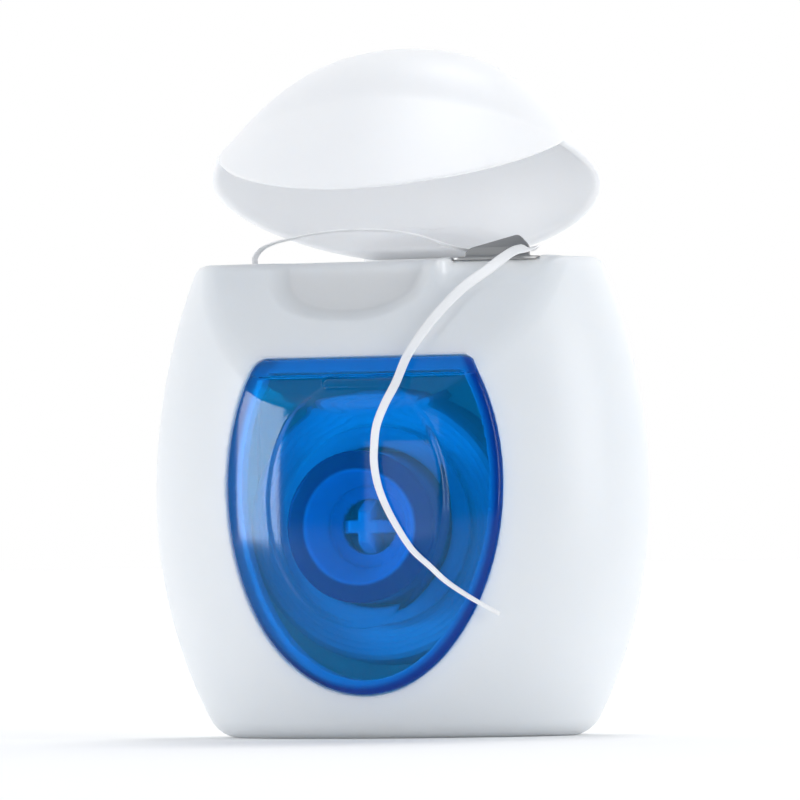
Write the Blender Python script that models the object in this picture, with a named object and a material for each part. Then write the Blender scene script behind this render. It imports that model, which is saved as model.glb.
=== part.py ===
"""Pocket dispenser for dental floss, with a flip lid, a clear window that carries the spool, and a steel cutter.

Metres, +Z up. The origin is the centre of the base. The front faces -Y, and the lid stands part open at rest.
"""

import math

import bmesh
import bpy
from mathutils import Matrix, Vector

MM = 0.001

# Case outline seen from the front: two arcs on each side
CASE_HEIGHT = 44.4 * MM
CASE_HALF_WIDTH = 24.0 * MM
WIDEST_HEIGHT = 22.5 * MM
SIDE_RADIUS_ABOVE = 56.5 * MM
SIDE_RADIUS_BELOW = 45.4 * MM

# Case outline seen from the side: one flat arc and a drawn-in toe
CASE_HALF_DEPTH = 14.6 * MM
DEEPEST_HEIGHT = 19.6 * MM
FACE_RADIUS = 111.0 * MM
TOE_HEIGHT = 11.0 * MM
TOE_RADIUS = 17.5 * MM
SECTION_POWER_SHARE = 1.8

# Case edges and walls
BASE_ROUND = 1.6 * MM
DECK_ROUND = 0.7 * MM
CASE_WALL = 1.4 * MM
DECK_THICKNESS = 1.6 * MM

# Scoop: the plane that slopes from the deck's front edge down to the front face
SCOOP_EDGE_DEPTH = 4.77 * MM
SCOOP_SLOPE_SHARE = 0.655

# Joint between front case and rear cover
PARTING_DEPTH = 4.0 * MM
DECK_LAP = 2.2 * MM
LIP_THICKNESS = 0.9 * MM
LIP_REACH = 2.2 * MM
LIP_ROOT = 1.4 * MM
LIP_DROP = 0.6 * MM

# Window outline: a half ellipse below, and above it a half ellipse whose top is cut off
WINDOW_HALF_WIDTH = 13.3 * MM
WINDOW_CENTRE_HEIGHT = 23.5 * MM
WINDOW_FOOT_HEIGHT = 4.1 * MM
WINDOW_TOP_SETBACK = 9.2 * MM
WINDOW_CUT_OFF = 6.6 * MM
WINDOW_CORNER = 1.4 * MM
WINDOW_THICKNESS = 1.2 * MM
LEDGE_WIDTH = 1.5 * MM
LEDGE_THICKNESS = 1.3 * MM
COLLAR_WIDTH = 1.5 * MM

# Raised lens in the window, with the groove and snap rib for the lid above it
LENS_HALF_WIDTH = 8.55 * MM
LENS_CENTRE_HEIGHT = 21.7 * MM
LENS_HALF_HEIGHT = 11.2 * MM
LENS_RAISE = 0.25 * MM
GROOVE_DEPTH = 0.35 * MM
LIP_BAR_WIDTH = 1.6 * MM
RIB_LENGTH = 7.2 * MM
RIB_WIDTH = 0.8 * MM
RIB_SETBACK = 0.3 * MM
RIB_RAISE = 0.1 * MM

# Hub tube behind the window
HUB_HEIGHT = 19.6 * MM
HUB_RADIUS = 7.0 * MM
HUB_MOUTH_RADIUS = 5.35 * MM
HUB_BORE_RADIUS = 4.5 * MM
HUB_TAPER_LENGTH = 9.3 * MM
HUB_ENGAGEMENT = 1.6 * MM

# Socket and post on the rear cover
SOCKET_DEPTH = 3.0 * MM
SOCKET_WALL = 1.0 * MM
POST_TIP_RADIUS = 0.8 * MM
POST_TIP_SETBACK = 3.6 * MM
POST_TAPER_LENGTH = 5.7 * MM
POST_RIB_THICKNESS = 1.2 * MM

# Spool
SPOOL_WIDTH = 10.6 * MM
CORE_WALL = 0.9 * MM
RIM_THICKNESS = 0.7 * MM
RIM_HEIGHT = 0.9 * MM
WINDING_RADIUS = 12.2 * MM
WINDING_CROWN = 0.35 * MM

# Lid: a dome over the deck and a skirt over the scoop
DOME_HEIGHT = 12.25 * MM
DOME_LEAN = 3.5 * MM
DOME_WIDTH_POWER_SHARE = 0.454
DOME_DEPTH_POWER_SHARES = (1.52, 0.615)
DOME_TOP_POWER_SHARE = 2.17
LID_WALL = 1.0 * MM
SKIRT_LENGTH = 16.0 * MM
LID_OPEN_DEG = 39.9

# Living hinge
HINGE_SETBACK = 0.59 * MM
HINGE_RISE = 0.5 * MM
HINGE_HALF_WIDTH = 7.0 * MM
HINGE_THICKNESS = 0.4 * MM
HINGE_BEND = 0.35 * MM
CASE_NOTCH_HEIGHT = 1.1 * MM
LID_NOTCH_HEIGHT = 1.7 * MM
HINGE_BAR_DEPTH = 1.4 * MM
HINGE_BAR_LAP = 0.9 * MM

# Seat shelf for the cutter, at the deck's front edge
SHELF_LEFT = 5.45 * MM
SHELF_LENGTH = 10.95 * MM
SHELF_REACH = 1.48 * MM
SHELF_CORNER = 1.5 * MM
SHELF_INSET = 1.35 * MM

# Cutter clip with its bent-up tooth and its two legs
CLIP_END_MARGIN = 1.2 * MM
CLIP_EDGE_MARGIN = 0.3 * MM
CLIP_WIDTH = 5.2 * MM
CLIP_THICKNESS = 0.35 * MM
TOOTH_SETBACK = 1.1 * MM
TOOTH_MARGIN = 1.2 * MM
TOOTH_LENGTH = 5.9 * MM
TOOTH_START_HEIGHT = 0.5 * MM
TOOTH_SHOULDER_HEIGHT = 0.9 * MM
TOOTH_PEAK_HEIGHT = 2.0 * MM
TOOTH_END_HEIGHT = 1.1 * MM
TOOTH_OUTLINE_SHARES = (0.13, 0.8, 0.87)
LEG_WIDTH = 1.2 * MM
LEG_MARGIN = 1.0 * MM

# Floss: a flat tape, drawn as a round tube of nearly its width
FLOSS_DIAMETER = 1.0 * MM
EXIT_RADIUS = 1.1 * MM
EXIT_X = -13.6 * MM
EXIT_DEPTH = 1.5 * MM
CORD_STEP_SHARE = 2.4

# Floss routes in millimetres: over the deck, then round the tooth and down the front
ARCH_ROUTE = [
    (-13.6, -1.5, 45.1),
    (-12.9, -1.6, 45.9),
    (-11.6, -1.8, 46.4),
    (-9.6, -2.1, 46.8),
    (-7.4, -2.35, 47.15),
    (-4.9, -2.55, 47.35),
    (-2.2, -2.8, 47.35),
    (0.6, -3.05, 47.15),
    (3.3, -3.35, 46.7),
    (5.9, -3.6, 46.15),
    (8.2, -3.75, 45.85),
    (10.7, -3.85, 45.75),
    (13.6, -3.9, 45.75),
]
TAIL_ROUTE = [
    (14.15, -3.95, 45.75),
    (15.0, -4.3, 45.75),
    (15.3, -5.0, 45.75),
    (15.05, -5.9, 45.7),
    (14.4, -6.7, 45.4),
    (13.4, -7.15, 44.9),
    (12.33, -7.2, 44.1),
    (11.06, -7.2, 43.21),
    (8.73, -7.5, 41.6),
    (6.83, -8.95, 39.39),
    (5.42, -10.4, 37.17),
    (4.46, -11.75, 35.14),
    (3.86, -13.3, 32.73),
    (3.18, -14.55, 30.8),
    (2.68, -15.5, 28.87),
    (2.51, -15.8, 26.95),
    (2.52, -15.9, 25.21),
    (2.88, -15.9, 23.28),
    (3.61, -15.85, 21.35),
    (4.68, -15.7, 19.32),
    (5.91, -15.4, 17.38),
    (7.39, -14.95, 15.9),
    (8.79, -14.1, 14.41),
    (10.81, -13.2, 12.91),
    (13.11, -12.0, 11.41),
]

# Clearances and overruns
FIT_GAP = 0.3 * MM
WINDOW_GAP = 0.3 * MM
SEAT_GAP = 0.3 * MM
RUN_GAP = 0.35 * MM
POST_GAP = 0.4 * MM
OVERRUN = 6.0 * MM
WELD_GAP = 0.001 * MM

# Counts and shading
RING_POINTS = 64
FINE_POINTS = 48
BODY_RINGS = 15
SKIRT_RINGS = 6
DOME_RINGS = 9
ROUND_RINGS = 3
SMOOTH_DEG = 32


def clear_scene():
    for item in list(bpy.data.objects):
        bpy.data.objects.remove(item, do_unlink=True)


def finish(name, colour, roughness, alpha=1.0, metallic=0.0):
    material = bpy.data.materials.new(name)
    material.use_nodes = True
    shader = material.node_tree.nodes["Principled BSDF"]
    shader.inputs["Base Color"].default_value = (*colour, 1.0)
    shader.inputs["Roughness"].default_value = roughness
    shader.inputs["Metallic"].default_value = metallic
    shader.inputs["Alpha"].default_value = alpha
    material.diffuse_color = (*colour, alpha)
    return material


def add_mesh(name, builder):
    bmesh.ops.recalc_face_normals(builder, faces=builder.faces)
    mesh = bpy.data.meshes.new(name)
    builder.to_mesh(mesh)
    builder.free()
    item = bpy.data.objects.new(name, mesh)
    bpy.context.scene.collection.objects.link(item)
    return item


def combine(item, tool, operation):
    """Adds one exact Boolean to an object, and a weld of the doubled points that it leaves.

    The tool stays as a hidden wire shape until the piece is baked.
    """
    tool.hide_render = True
    tool.display_type = "WIRE"
    modifier = item.modifiers.new(tool.name, "BOOLEAN")
    modifier.operation = operation
    modifier.solver = "EXACT"
    modifier.object = tool
    weld = item.modifiers.new(tool.name + "_weld", "WELD")
    weld.merge_threshold = WELD_GAP
    return item


def bake(item, material):
    """Fixes the shape that the Booleans give, removes their tools, and shades the piece."""
    bpy.context.view_layer.update()
    graph = bpy.context.evaluated_depsgraph_get()
    shape = bpy.data.meshes.new_from_object(item.evaluated_get(graph))
    item.modifiers.clear()
    item.data = shape
    shape.name = item.name
    shape.materials.clear()
    shape.materials.append(material)
    for face in shape.polygons:
        face.material_index = 0
        face.use_smooth = True
    shape.set_sharp_from_angle(angle=math.radians(SMOOTH_DEG))
    for other in list(bpy.data.objects):
        if other.hide_render:
            bpy.data.objects.remove(other, do_unlink=True)
    return item


def hang(item, pivot):
    """Parents a baked piece to an empty on its joint's axis, and keeps its shape in the empty's own frame."""
    item.data.transform(Matrix.Translation(-pivot.location))
    item.parent = pivot


def add_pivot(name, location, tilt=0.0):
    pivot = bpy.data.objects.new(name, None)
    pivot.location = location
    pivot.rotation_euler = (tilt, 0, 0)
    pivot.empty_display_size = HUB_RADIUS
    bpy.context.scene.collection.objects.link(pivot)
    return pivot


def loft(name, rings, tip=None):
    """A closed solid through rings of equal counts, with a flat or pointed head."""
    builder = bmesh.new()
    levels = [[builder.verts.new(point) for point in ring] for ring in rings]
    count = len(levels[0])
    for low, high in zip(levels, levels[1:]):
        for i in range(count):
            j = (i + 1) % count
            builder.faces.new((low[i], low[j], high[j], high[i]))
    builder.faces.new(list(reversed(levels[0])))
    if tip is None:
        builder.faces.new(levels[-1])
    else:
        apex = builder.verts.new(tip)
        for i in range(count):
            builder.faces.new((levels[-1][i], levels[-1][(i + 1) % count], apex))
    return add_mesh(name, builder)


def prism(name, outline, axis, low, high):
    """A closed outline pushed along one axis. Its points give the two other coordinates in XYZ order."""
    builder = bmesh.new()
    ends = []
    for along in (low, high):
        ring = []
        for point in outline:
            values = list(point)
            values.insert("XYZ".index(axis), along)
            ring.append(builder.verts.new(values))
        ends.append(ring)
    near, far = ends
    builder.faces.new(near)
    builder.faces.new(list(reversed(far)))
    for i in range(len(outline)):
        j = (i + 1) % len(outline)
        builder.faces.new((near[i], near[j], far[j], far[i]))
    return add_mesh(name, builder)


def box(name, low, high):
    (x0, y0, z0), (x1, y1, z1) = low, high
    return prism(name, [(x0, y0), (x1, y0), (x1, y1), (x0, y1)], "Z", z0, z1)


def turned(name, profile, count=FINE_POINTS):
    """A closed profile of (radius, y) points turned about the hub's axis."""
    builder = bmesh.new()
    rings = []
    for i in range(count):
        angle = 2 * math.pi * i / count
        ring = []
        for radius, y in profile:
            ring.append(builder.verts.new((radius * math.cos(angle), y, HUB_HEIGHT + radius * math.sin(angle))))
        rings.append(ring)
    for i in range(count):
        here, there = rings[i], rings[(i + 1) % count]
        for k in range(len(profile)):
            m = (k + 1) % len(profile)
            builder.faces.new((here[k], here[m], there[m], there[k]))
    return add_mesh(name, builder)


def drop(radius, offset):
    """How far an arc has fallen away, this far from its crown."""
    return radius - math.sqrt(max(radius**2 - offset**2, 0))


def half_width(z):
    radius = SIDE_RADIUS_ABOVE if z > WIDEST_HEIGHT else SIDE_RADIUS_BELOW
    return CASE_HALF_WIDTH - drop(radius, z - WIDEST_HEIGHT)


def half_depth(z):
    toe = max(TOE_HEIGHT - z, 0)
    return CASE_HALF_DEPTH - drop(FACE_RADIUS, z - DEEPEST_HEIGHT) - drop(TOE_RADIUS, toe)


def scoop_depth(z):
    """How far in front of the origin the scoop's plane lies at a height."""
    return SCOOP_EDGE_DEPTH + SCOOP_SLOPE_SHARE * (CASE_HEIGHT - z)


def scoop_back(offset):
    """How far the scoop's plane moves along Y when it moves this far square to itself."""
    return offset * math.hypot(1, SCOOP_SLOPE_SHARE)


def smile_height():
    """Where the scoop's plane meets the front face on the centre line."""
    low, high = DEEPEST_HEIGHT, CASE_HEIGHT
    for _ in range(FINE_POINTS):
        middle = (low + high) / 2
        if scoop_depth(middle) > half_depth(middle):
            low = middle
        else:
            high = middle
    return low


def oval(half_x, half_y, z, power=SECTION_POWER_SHARE, shift=0.0, count=RING_POINTS):
    """One level ring of the pebble shape."""
    ring = []
    for i in range(count):
        angle = 2 * math.pi * i / count
        c, s = math.cos(angle), math.sin(angle)
        x = half_x * math.copysign(abs(c) ** (2 / power), c)
        y = half_y * math.copysign(abs(s) ** (2 / power), s)
        ring.append((x, y - shift, z))
    return ring


def case_form(name, inset=0.0, foot=0.0, head=CASE_HEIGHT, rounded=False, count=RING_POINTS):
    """The pebble between two heights, drawn in by an inset. Rounded gives it its base and deck edges."""
    low = foot + (BASE_ROUND if rounded else 0)
    high = head - (DECK_ROUND if rounded else 0)
    levels = [(low + (high - low) * i / BODY_RINGS, 0) for i in range(BODY_RINGS + 1)]
    if rounded:
        turns = [math.pi / 2 * i / ROUND_RINGS for i in range(1, ROUND_RINGS + 1)]
        base = [(low - BASE_ROUND * math.sin(t), BASE_ROUND * (1 - math.cos(t))) for t in turns]
        deck = [(high + DECK_ROUND * math.sin(t), DECK_ROUND * (1 - math.cos(t))) for t in turns]
        levels = base[::-1] + levels + deck
    rings = []
    for z, pull in levels:
        rings.append(oval(half_width(z) - inset - pull, half_depth(z) - inset - pull, z, count=count))
    return loft(name, rings)


def scoop_outline(offset, floor=None):
    """What lies in front of the scoop's plane, as points in y and z, with the plane moved back by an offset."""
    low = DEEPEST_HEIGHT
    high = CASE_HEIGHT + OVERRUN
    back = scoop_back(offset)
    front = -scoop_depth(low) - OVERRUN
    return [(-scoop_depth(high) + back, high), (-scoop_depth(low) + back, low), (front, low), (front, high)]


def scoop_wedge(name, offset):
    reach = CASE_HALF_WIDTH + OVERRUN
    return prism(name, scoop_outline(offset), "X", -reach, reach)


def scooped_form(name, inset=0.0, foot=0.0, head=CASE_HEIGHT, count=RING_POINTS):
    """The pebble with the scoop taken off, both drawn in by the same inset."""
    form = case_form(name, inset, foot, head, count=count)
    return combine(form, scoop_wedge(name + "_scoop", inset), "DIFFERENCE")


def window_top():
    return CASE_HEIGHT - WINDOW_TOP_SETBACK


def window_outline(grow):
    """The window's outline in x and z, moved outwards by grow."""
    half = WINDOW_HALF_WIDTH + grow
    top = window_top() + grow
    rise = top + WINDOW_CUT_OFF - WINDOW_CENTRE_HEIGHT
    fall = WINDOW_CENTRE_HEIGHT - WINDOW_FOOT_HEIGHT + grow
    corner = WINDOW_CORNER
    top_angle = math.asin((top - corner - WINDOW_CENTRE_HEIGHT) / rise)
    side = half * math.cos(top_angle)
    steps = FINE_POINTS // 4
    half_points = []
    for i in range(1, 2 * ROUND_RINGS):
        angle = math.pi / 2 * (1 - i / (2 * ROUND_RINGS))
        x = side - corner + corner * math.cos(angle)
        half_points.append((x, top - corner + corner * math.sin(angle)))
    for i in range(steps):
        angle = top_angle * (1 - i / steps)
        half_points.append((half * math.cos(angle), WINDOW_CENTRE_HEIGHT + rise * math.sin(angle)))
    for i in range(steps):
        angle = math.pi / 2 * i / steps
        half_points.append((half * math.cos(angle), WINDOW_CENTRE_HEIGHT - fall * math.sin(angle)))
    top_points = [(-(side - corner), top), (side - corner, top)]
    foot = [(0.0, WINDOW_CENTRE_HEIGHT - fall)]
    mirrored = [(-x, z) for x, z in reversed(half_points)]
    return top_points + half_points + foot + mirrored


def window_prism(name, grow):
    return prism(name, window_outline(grow), "Y", -CASE_HALF_DEPTH - OVERRUN, -SCOOP_EDGE_DEPTH)


def shelf_form(name, margin, end_margin, back, low, high):
    """The cutter's shelf between two heights, drawn in by margins, with rounded front corners."""
    left = SHELF_LEFT + end_margin
    right = SHELF_LEFT + SHELF_LENGTH - end_margin
    front = -SCOOP_EDGE_DEPTH - SHELF_REACH + margin
    outline = [(right, back), (left, back)]
    for i in range(2 * ROUND_RINGS + 1):
        angle = math.pi / 2 * i / (2 * ROUND_RINGS)
        rise = SHELF_CORNER * (1 - math.sin(angle))
        outline.append((left + SHELF_CORNER * (1 - math.cos(angle)), front + rise))
    for i in range(2 * ROUND_RINGS + 1):
        angle = math.pi / 2 * (1 - i / (2 * ROUND_RINGS))
        rise = SHELF_CORNER * (1 - math.sin(angle))
        outline.append((right - SHELF_CORNER * (1 - math.cos(angle)), front + rise))
    form = prism(name, outline, "Z", low, high)
    limit = case_form(name + "_limit", SHELF_INSET + margin, DEEPEST_HEIGHT, CASE_HEIGHT + OVERRUN)
    return combine(form, limit, "INTERSECT")


def case_shell(name):
    """The whole white shell before it is parted: outer form with scoop and shelf, hollow, and window collar."""
    shell = case_form(name, rounded=True)
    wedge = scoop_wedge(name + "_scoop", 0)
    shelf_low = CASE_HEIGHT - SHELF_REACH / SCOOP_SLOPE_SHARE - FIT_GAP
    shelf = shelf_form(name + "_shelf", 0, 0, 0, shelf_low, CASE_HEIGHT + OVERRUN / 2)
    combine(wedge, shelf, "DIFFERENCE")
    combine(shell, wedge, "DIFFERENCE")
    ceiling = CASE_HEIGHT - DECK_THICKNESS
    hollow = scooped_form(name + "_hollow", CASE_WALL, CASE_WALL, ceiling, count=FINE_POINTS)
    collar = window_prism(name + "_collar", COLLAR_WIDTH)
    ledge_back = WINDOW_THICKNESS + FIT_GAP + LEDGE_THICKNESS
    combine(collar, scooped_form(name + "_ledge_back", ledge_back, count=FINE_POINTS), "DIFFERENCE")
    combine(hollow, collar, "DIFFERENCE")
    return combine(shell, hollow, "DIFFERENCE")


def rear_region(name, gap):
    """What belongs to the rear cover: behind the parting, and below the deck."""
    near, top = PARTING_DEPTH + gap, CASE_HEIGHT - DECK_LAP - gap
    far = CASE_HALF_DEPTH + OVERRUN
    reach = CASE_HALF_WIDTH + OVERRUN
    return box(name, (-reach, near, -OVERRUN), (reach, far, top))


def hinge_depth():
    return half_depth(CASE_HEIGHT) - HINGE_SETBACK


def hinge_height():
    return CASE_HEIGHT + HINGE_RISE


def hinge_face():
    """The flats that the hinge's two leaves lie against are at this depth."""
    return hinge_depth() - HINGE_THICKNESS / 2 - FIT_GAP


def hinge_notch(name, low, high):
    half = HINGE_HALF_WIDTH + FIT_GAP
    return box(name, (-half, hinge_face(), low), (half, hinge_face() + OVERRUN, high))


def clip_back():
    return -SCOOP_EDGE_DEPTH - SHELF_REACH + CLIP_EDGE_MARGIN + CLIP_WIDTH


def leg_centres():
    left = SHELF_LEFT + CLIP_END_MARGIN + LEG_MARGIN + LEG_WIDTH / 2
    right = SHELF_LEFT + SHELF_LENGTH - CLIP_END_MARGIN - LEG_MARGIN - LEG_WIDTH / 2
    return left, right


def make_front_case(material):
    case = case_shell("front_case")
    pocket = window_prism("window_pocket", WINDOW_GAP)
    combine(pocket, scooped_form("pocket_floor", WINDOW_THICKNESS + FIT_GAP), "DIFFERENCE")
    combine(case, pocket, "DIFFERENCE")
    combine(case, window_prism("window_hole", -LEDGE_WIDTH), "DIFFERENCE")
    combine(case, rear_region("rear_part", 0), "DIFFERENCE")
    high = CASE_HEIGHT + OVERRUN
    combine(case, hinge_notch("case_notch", CASE_HEIGHT - CASE_NOTCH_HEIGHT, high), "DIFFERENCE")
    low = CASE_HEIGHT - DECK_THICKNESS * 2
    ring = []
    for i in range(FINE_POINTS // 2):
        angle = 4 * math.pi * i / FINE_POINTS
        ring.append((EXIT_X + EXIT_RADIUS * math.cos(angle), -EXIT_DEPTH + EXIT_RADIUS * math.sin(angle)))
    combine(case, prism("exit_hole", ring, "Z", low, high), "DIFFERENCE")
    for index, x in enumerate(leg_centres()):
        half = LEG_WIDTH / 2 + FIT_GAP
        near = (x - half, clip_back() - CLIP_THICKNESS - FIT_GAP, low)
        combine(case, box("leg_slot_%d" % index, near, (x + half, clip_back() + FIT_GAP, high)), "DIFFERENCE")
    return bake(case, material)


def make_rear_cover(material):
    cover = case_shell("rear_cover")
    combine(cover, rear_region("cover_part", FIT_GAP), "INTERSECT")
    parting = PARTING_DEPTH + FIT_GAP
    top = CASE_HEIGHT - DECK_LAP - FIT_GAP
    reach = CASE_HALF_WIDTH + OVERRUN
    inside = CASE_WALL + FIT_GAP
    lip = case_form("cover_lip", inside, inside, top - LIP_DROP)
    lip_span = box("lip_span", (-reach, parting - LIP_REACH, 0), (reach, parting + LIP_ROOT / 2, top))
    combine(lip, lip_span, "INTERSECT")
    root = case_form("cover_root", CASE_WALL / 2, CASE_WALL / 2, top - 2 * LIP_DROP)
    root_span = box("root_span", (-reach, parting + FIT_GAP, 0), (reach, parting + LIP_ROOT, top))
    combine(root, root_span, "INTERSECT")
    combine(lip, root, "UNION")
    within = inside + LIP_THICKNESS
    combine(lip, case_form("cover_within", within, within, CASE_HEIGHT, count=FINE_POINTS), "DIFFERENCE")
    combine(cover, lip, "UNION")
    inner = HUB_RADIUS + RUN_GAP
    outer = inner + SOCKET_WALL
    far = CASE_HALF_DEPTH + FIT_GAP
    socket = turned("cover_socket", [(inner, SOCKET_DEPTH), (outer, SOCKET_DEPTH), (outer, far), (inner, far)])
    combine(socket, case_form("socket_limit", CASE_WALL / 2), "INTERSECT")
    combine(cover, socket, "UNION")
    tip = CASE_HALF_DEPTH - POST_TIP_SETBACK
    neck = tip - POST_TAPER_LENGTH
    radius = HUB_BORE_RADIUS - POST_GAP
    half = [(POST_TIP_RADIUS, -tip), (radius, -neck), (radius, far)]
    flat = half + [(-r, y) for r, y in reversed(half)]
    thick = POST_RIB_THICKNESS / 2
    post = prism("cover_post", flat, "Z", HUB_HEIGHT - thick, HUB_HEIGHT + thick)
    upright = [(y, HUB_HEIGHT + r) for r, y in flat]
    combine(post, prism("post_upright", upright, "X", -thick, thick), "UNION")
    combine(post, case_form("post_limit", CASE_WALL / 2), "INTERSECT")
    combine(cover, post, "UNION")
    return bake(cover, material)


def groove_outline():
    """What lies in front of the groove's floor, which starts at the smile and is deepest under the lip bar."""
    smile = smile_height()
    top = window_top() - LIP_BAR_WIDTH
    low = DEEPEST_HEIGHT
    front = -scoop_depth(low) - OVERRUN
    return [
        (-scoop_depth(top) + scoop_back(GROOVE_DEPTH), top),
        (-scoop_depth(smile), smile),
        (-scoop_depth(low), low),
        (front, low),
        (front, top),
    ]


def make_window(material):
    insert = window_prism("window_insert", 0)
    combine(insert, scooped_form("insert_face"), "INTERSECT")
    lens_points = []
    for i in range(FINE_POINTS):
        angle = 2 * math.pi * i / FINE_POINTS
        z = LENS_CENTRE_HEIGHT + LENS_HALF_HEIGHT * math.sin(angle)
        lens_points.append((LENS_HALF_WIDTH * math.cos(angle), z))
    lens_back = -SCOOP_EDGE_DEPTH - WINDOW_THICKNESS
    lens = prism("window_lens", lens_points, "Y", -CASE_HALF_DEPTH - OVERRUN, lens_back)
    combine(lens, case_form("lens_face", -LENS_RAISE), "INTERSECT")
    combine(insert, lens, "UNION")
    reach = WINDOW_HALF_WIDTH + OVERRUN
    combine(insert, prism("window_groove", groove_outline(), "X", -reach, reach), "DIFFERENCE")
    combine(insert, scooped_form("insert_back", WINDOW_THICKNESS), "DIFFERENCE")
    rib_top = window_top() - LIP_BAR_WIDTH - RIB_SETBACK
    rib_low = rib_top - RIB_WIDTH
    rib_outline = []
    for z, offset in ((rib_top, -RIB_RAISE), (rib_low, -RIB_RAISE), (rib_low, WINDOW_THICKNESS / 2)):
        rib_outline.append((-scoop_depth(z) + scoop_back(offset), z))
    rib_outline.append((-scoop_depth(rib_top) + scoop_back(WINDOW_THICKNESS / 2), rib_top))
    combine(insert, prism("window_rib", rib_outline, "X", -RIB_LENGTH / 2, RIB_LENGTH / 2), "UNION")
    front, rear = -CASE_HALF_DEPTH, SOCKET_DEPTH + HUB_ENGAGEMENT
    profile = [(HUB_RADIUS, front), (HUB_RADIUS, rear), (HUB_BORE_RADIUS, rear)]
    profile += [(HUB_BORE_RADIUS, front + HUB_TAPER_LENGTH), (HUB_MOUTH_RADIUS, front)]
    hub = turned("window_hub", profile)
    combine(hub, case_form("hub_limit", WINDOW_THICKNESS / 2), "INTERSECT")
    combine(insert, hub, "UNION")
    return bake(insert, material)


def make_spool(core_material, floss_material):
    rear = SOCKET_DEPTH - RUN_GAP
    front = rear - SPOOL_WIDTH
    bore = HUB_RADIUS + RUN_GAP
    core = bore + CORE_WALL
    rim = core + RIM_HEIGHT
    profile = [(bore, front), (rim, front), (rim, front + RIM_THICKNESS), (core, front + RIM_THICKNESS)]
    profile += [(core, rear - RIM_THICKNESS), (rim, rear - RIM_THICKNESS), (rim, rear), (bore, rear)]
    spool = bake(turned("spool_core", profile), core_material)
    start = front + RIM_THICKNESS + FIT_GAP
    end = rear - RIM_THICKNESS - FIT_GAP
    steps = 2 * ROUND_RINGS
    profile = [(core + FIT_GAP, end), (core + FIT_GAP, start)]
    for i in range(steps + 1):
        across = 2 * i / steps - 1
        profile.append((WINDING_RADIUS - WINDING_CROWN * across**2, start + (end - start) * i / steps))
    winding = bake(turned("floss_winding", profile), floss_material)
    pivot = add_pivot("spool_pivot", Vector((0, (front + rear) / 2, HUB_HEIGHT)))
    hang(spool, pivot)
    hang(winding, pivot)
    return pivot.location.y


def lid_form(name, inset, foot, count=RING_POINTS):
    """The lid's pebble and dome, drawn in by a wall, down to a foot inside the skirt."""
    rings = []
    for i in range(SKIRT_RINGS + 1):
        z = foot + (CASE_HEIGHT - foot) * i / SKIRT_RINGS
        rings.append(oval(half_width(z) - inset, half_depth(z) - inset, z, count=count))
    wide = half_width(CASE_HEIGHT) - inset
    deep = half_depth(CASE_HEIGHT) - inset
    tall = DOME_HEIGHT - inset
    bulge, fall = DOME_DEPTH_POWER_SHARES
    for i in range(1, DOME_RINGS + 1):
        rise = 1 - (1 - i / (DOME_RINGS + 1)) ** 2
        power = SECTION_POWER_SHARE + (DOME_TOP_POWER_SHARE - SECTION_POWER_SHARE) * rise
        half_x = wide * (1 - rise) ** DOME_WIDTH_POWER_SHARE
        half_y = deep * (1 - rise**bulge) ** fall
        rings.append(oval(half_x, half_y, CASE_HEIGHT + tall * rise, power, DOME_LEAN * rise, count))
    return loft(name, rings, (0, -DOME_LEAN, CASE_HEIGHT + tall))


def make_lid(material):
    """Models the lid closed, then hangs it on its hinge, which stands open."""
    foot = CASE_HEIGHT - SKIRT_LENGTH
    lid = lid_form("flip_lid", 0, foot)
    combine(lid, lid_form("lid_hollow", LID_WALL, foot - OVERRUN, FINE_POINTS), "DIFFERENCE")
    half = HINGE_HALF_WIDTH + FIT_GAP + HINGE_BAR_LAP
    bar_top = CASE_HEIGHT + LID_NOTCH_HEIGHT + HINGE_BAR_LAP
    bar_low = (-half, hinge_face() - HINGE_BAR_DEPTH, CASE_HEIGHT - OVERRUN / 2)
    bar = box("hinge_bar", bar_low, (half, hinge_face() + FIT_GAP, bar_top))
    combine(bar, lid_form("bar_limit", LID_WALL / 2, foot, FINE_POINTS), "INTERSECT")
    combine(lid, bar, "UNION")
    reach = CASE_HALF_WIDTH + OVERRUN
    rim = CASE_HEIGHT + FIT_GAP
    low, high = foot - OVERRUN, CASE_HEIGHT + DOME_HEIGHT + OVERRUN
    gap = scoop_back(FIT_GAP)
    region = [
        (reach, high),
        (reach, rim),
        (-scoop_depth(rim) - gap, rim),
        (-scoop_depth(low) - gap, low),
        (-scoop_depth(low) - reach, low),
        (-scoop_depth(low) - reach, high),
    ]
    combine(lid, prism("lid_region", region, "X", -reach, reach), "INTERSECT")
    notch = hinge_notch("lid_notch", CASE_HEIGHT - OVERRUN, CASE_HEIGHT + LID_NOTCH_HEIGHT)
    combine(lid, notch, "DIFFERENCE")
    bake(lid, material)
    pivot = add_pivot("lid_pivot", Vector((0, hinge_depth(), hinge_height())), -math.radians(LID_OPEN_DEG))
    hang(lid, pivot)


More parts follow.
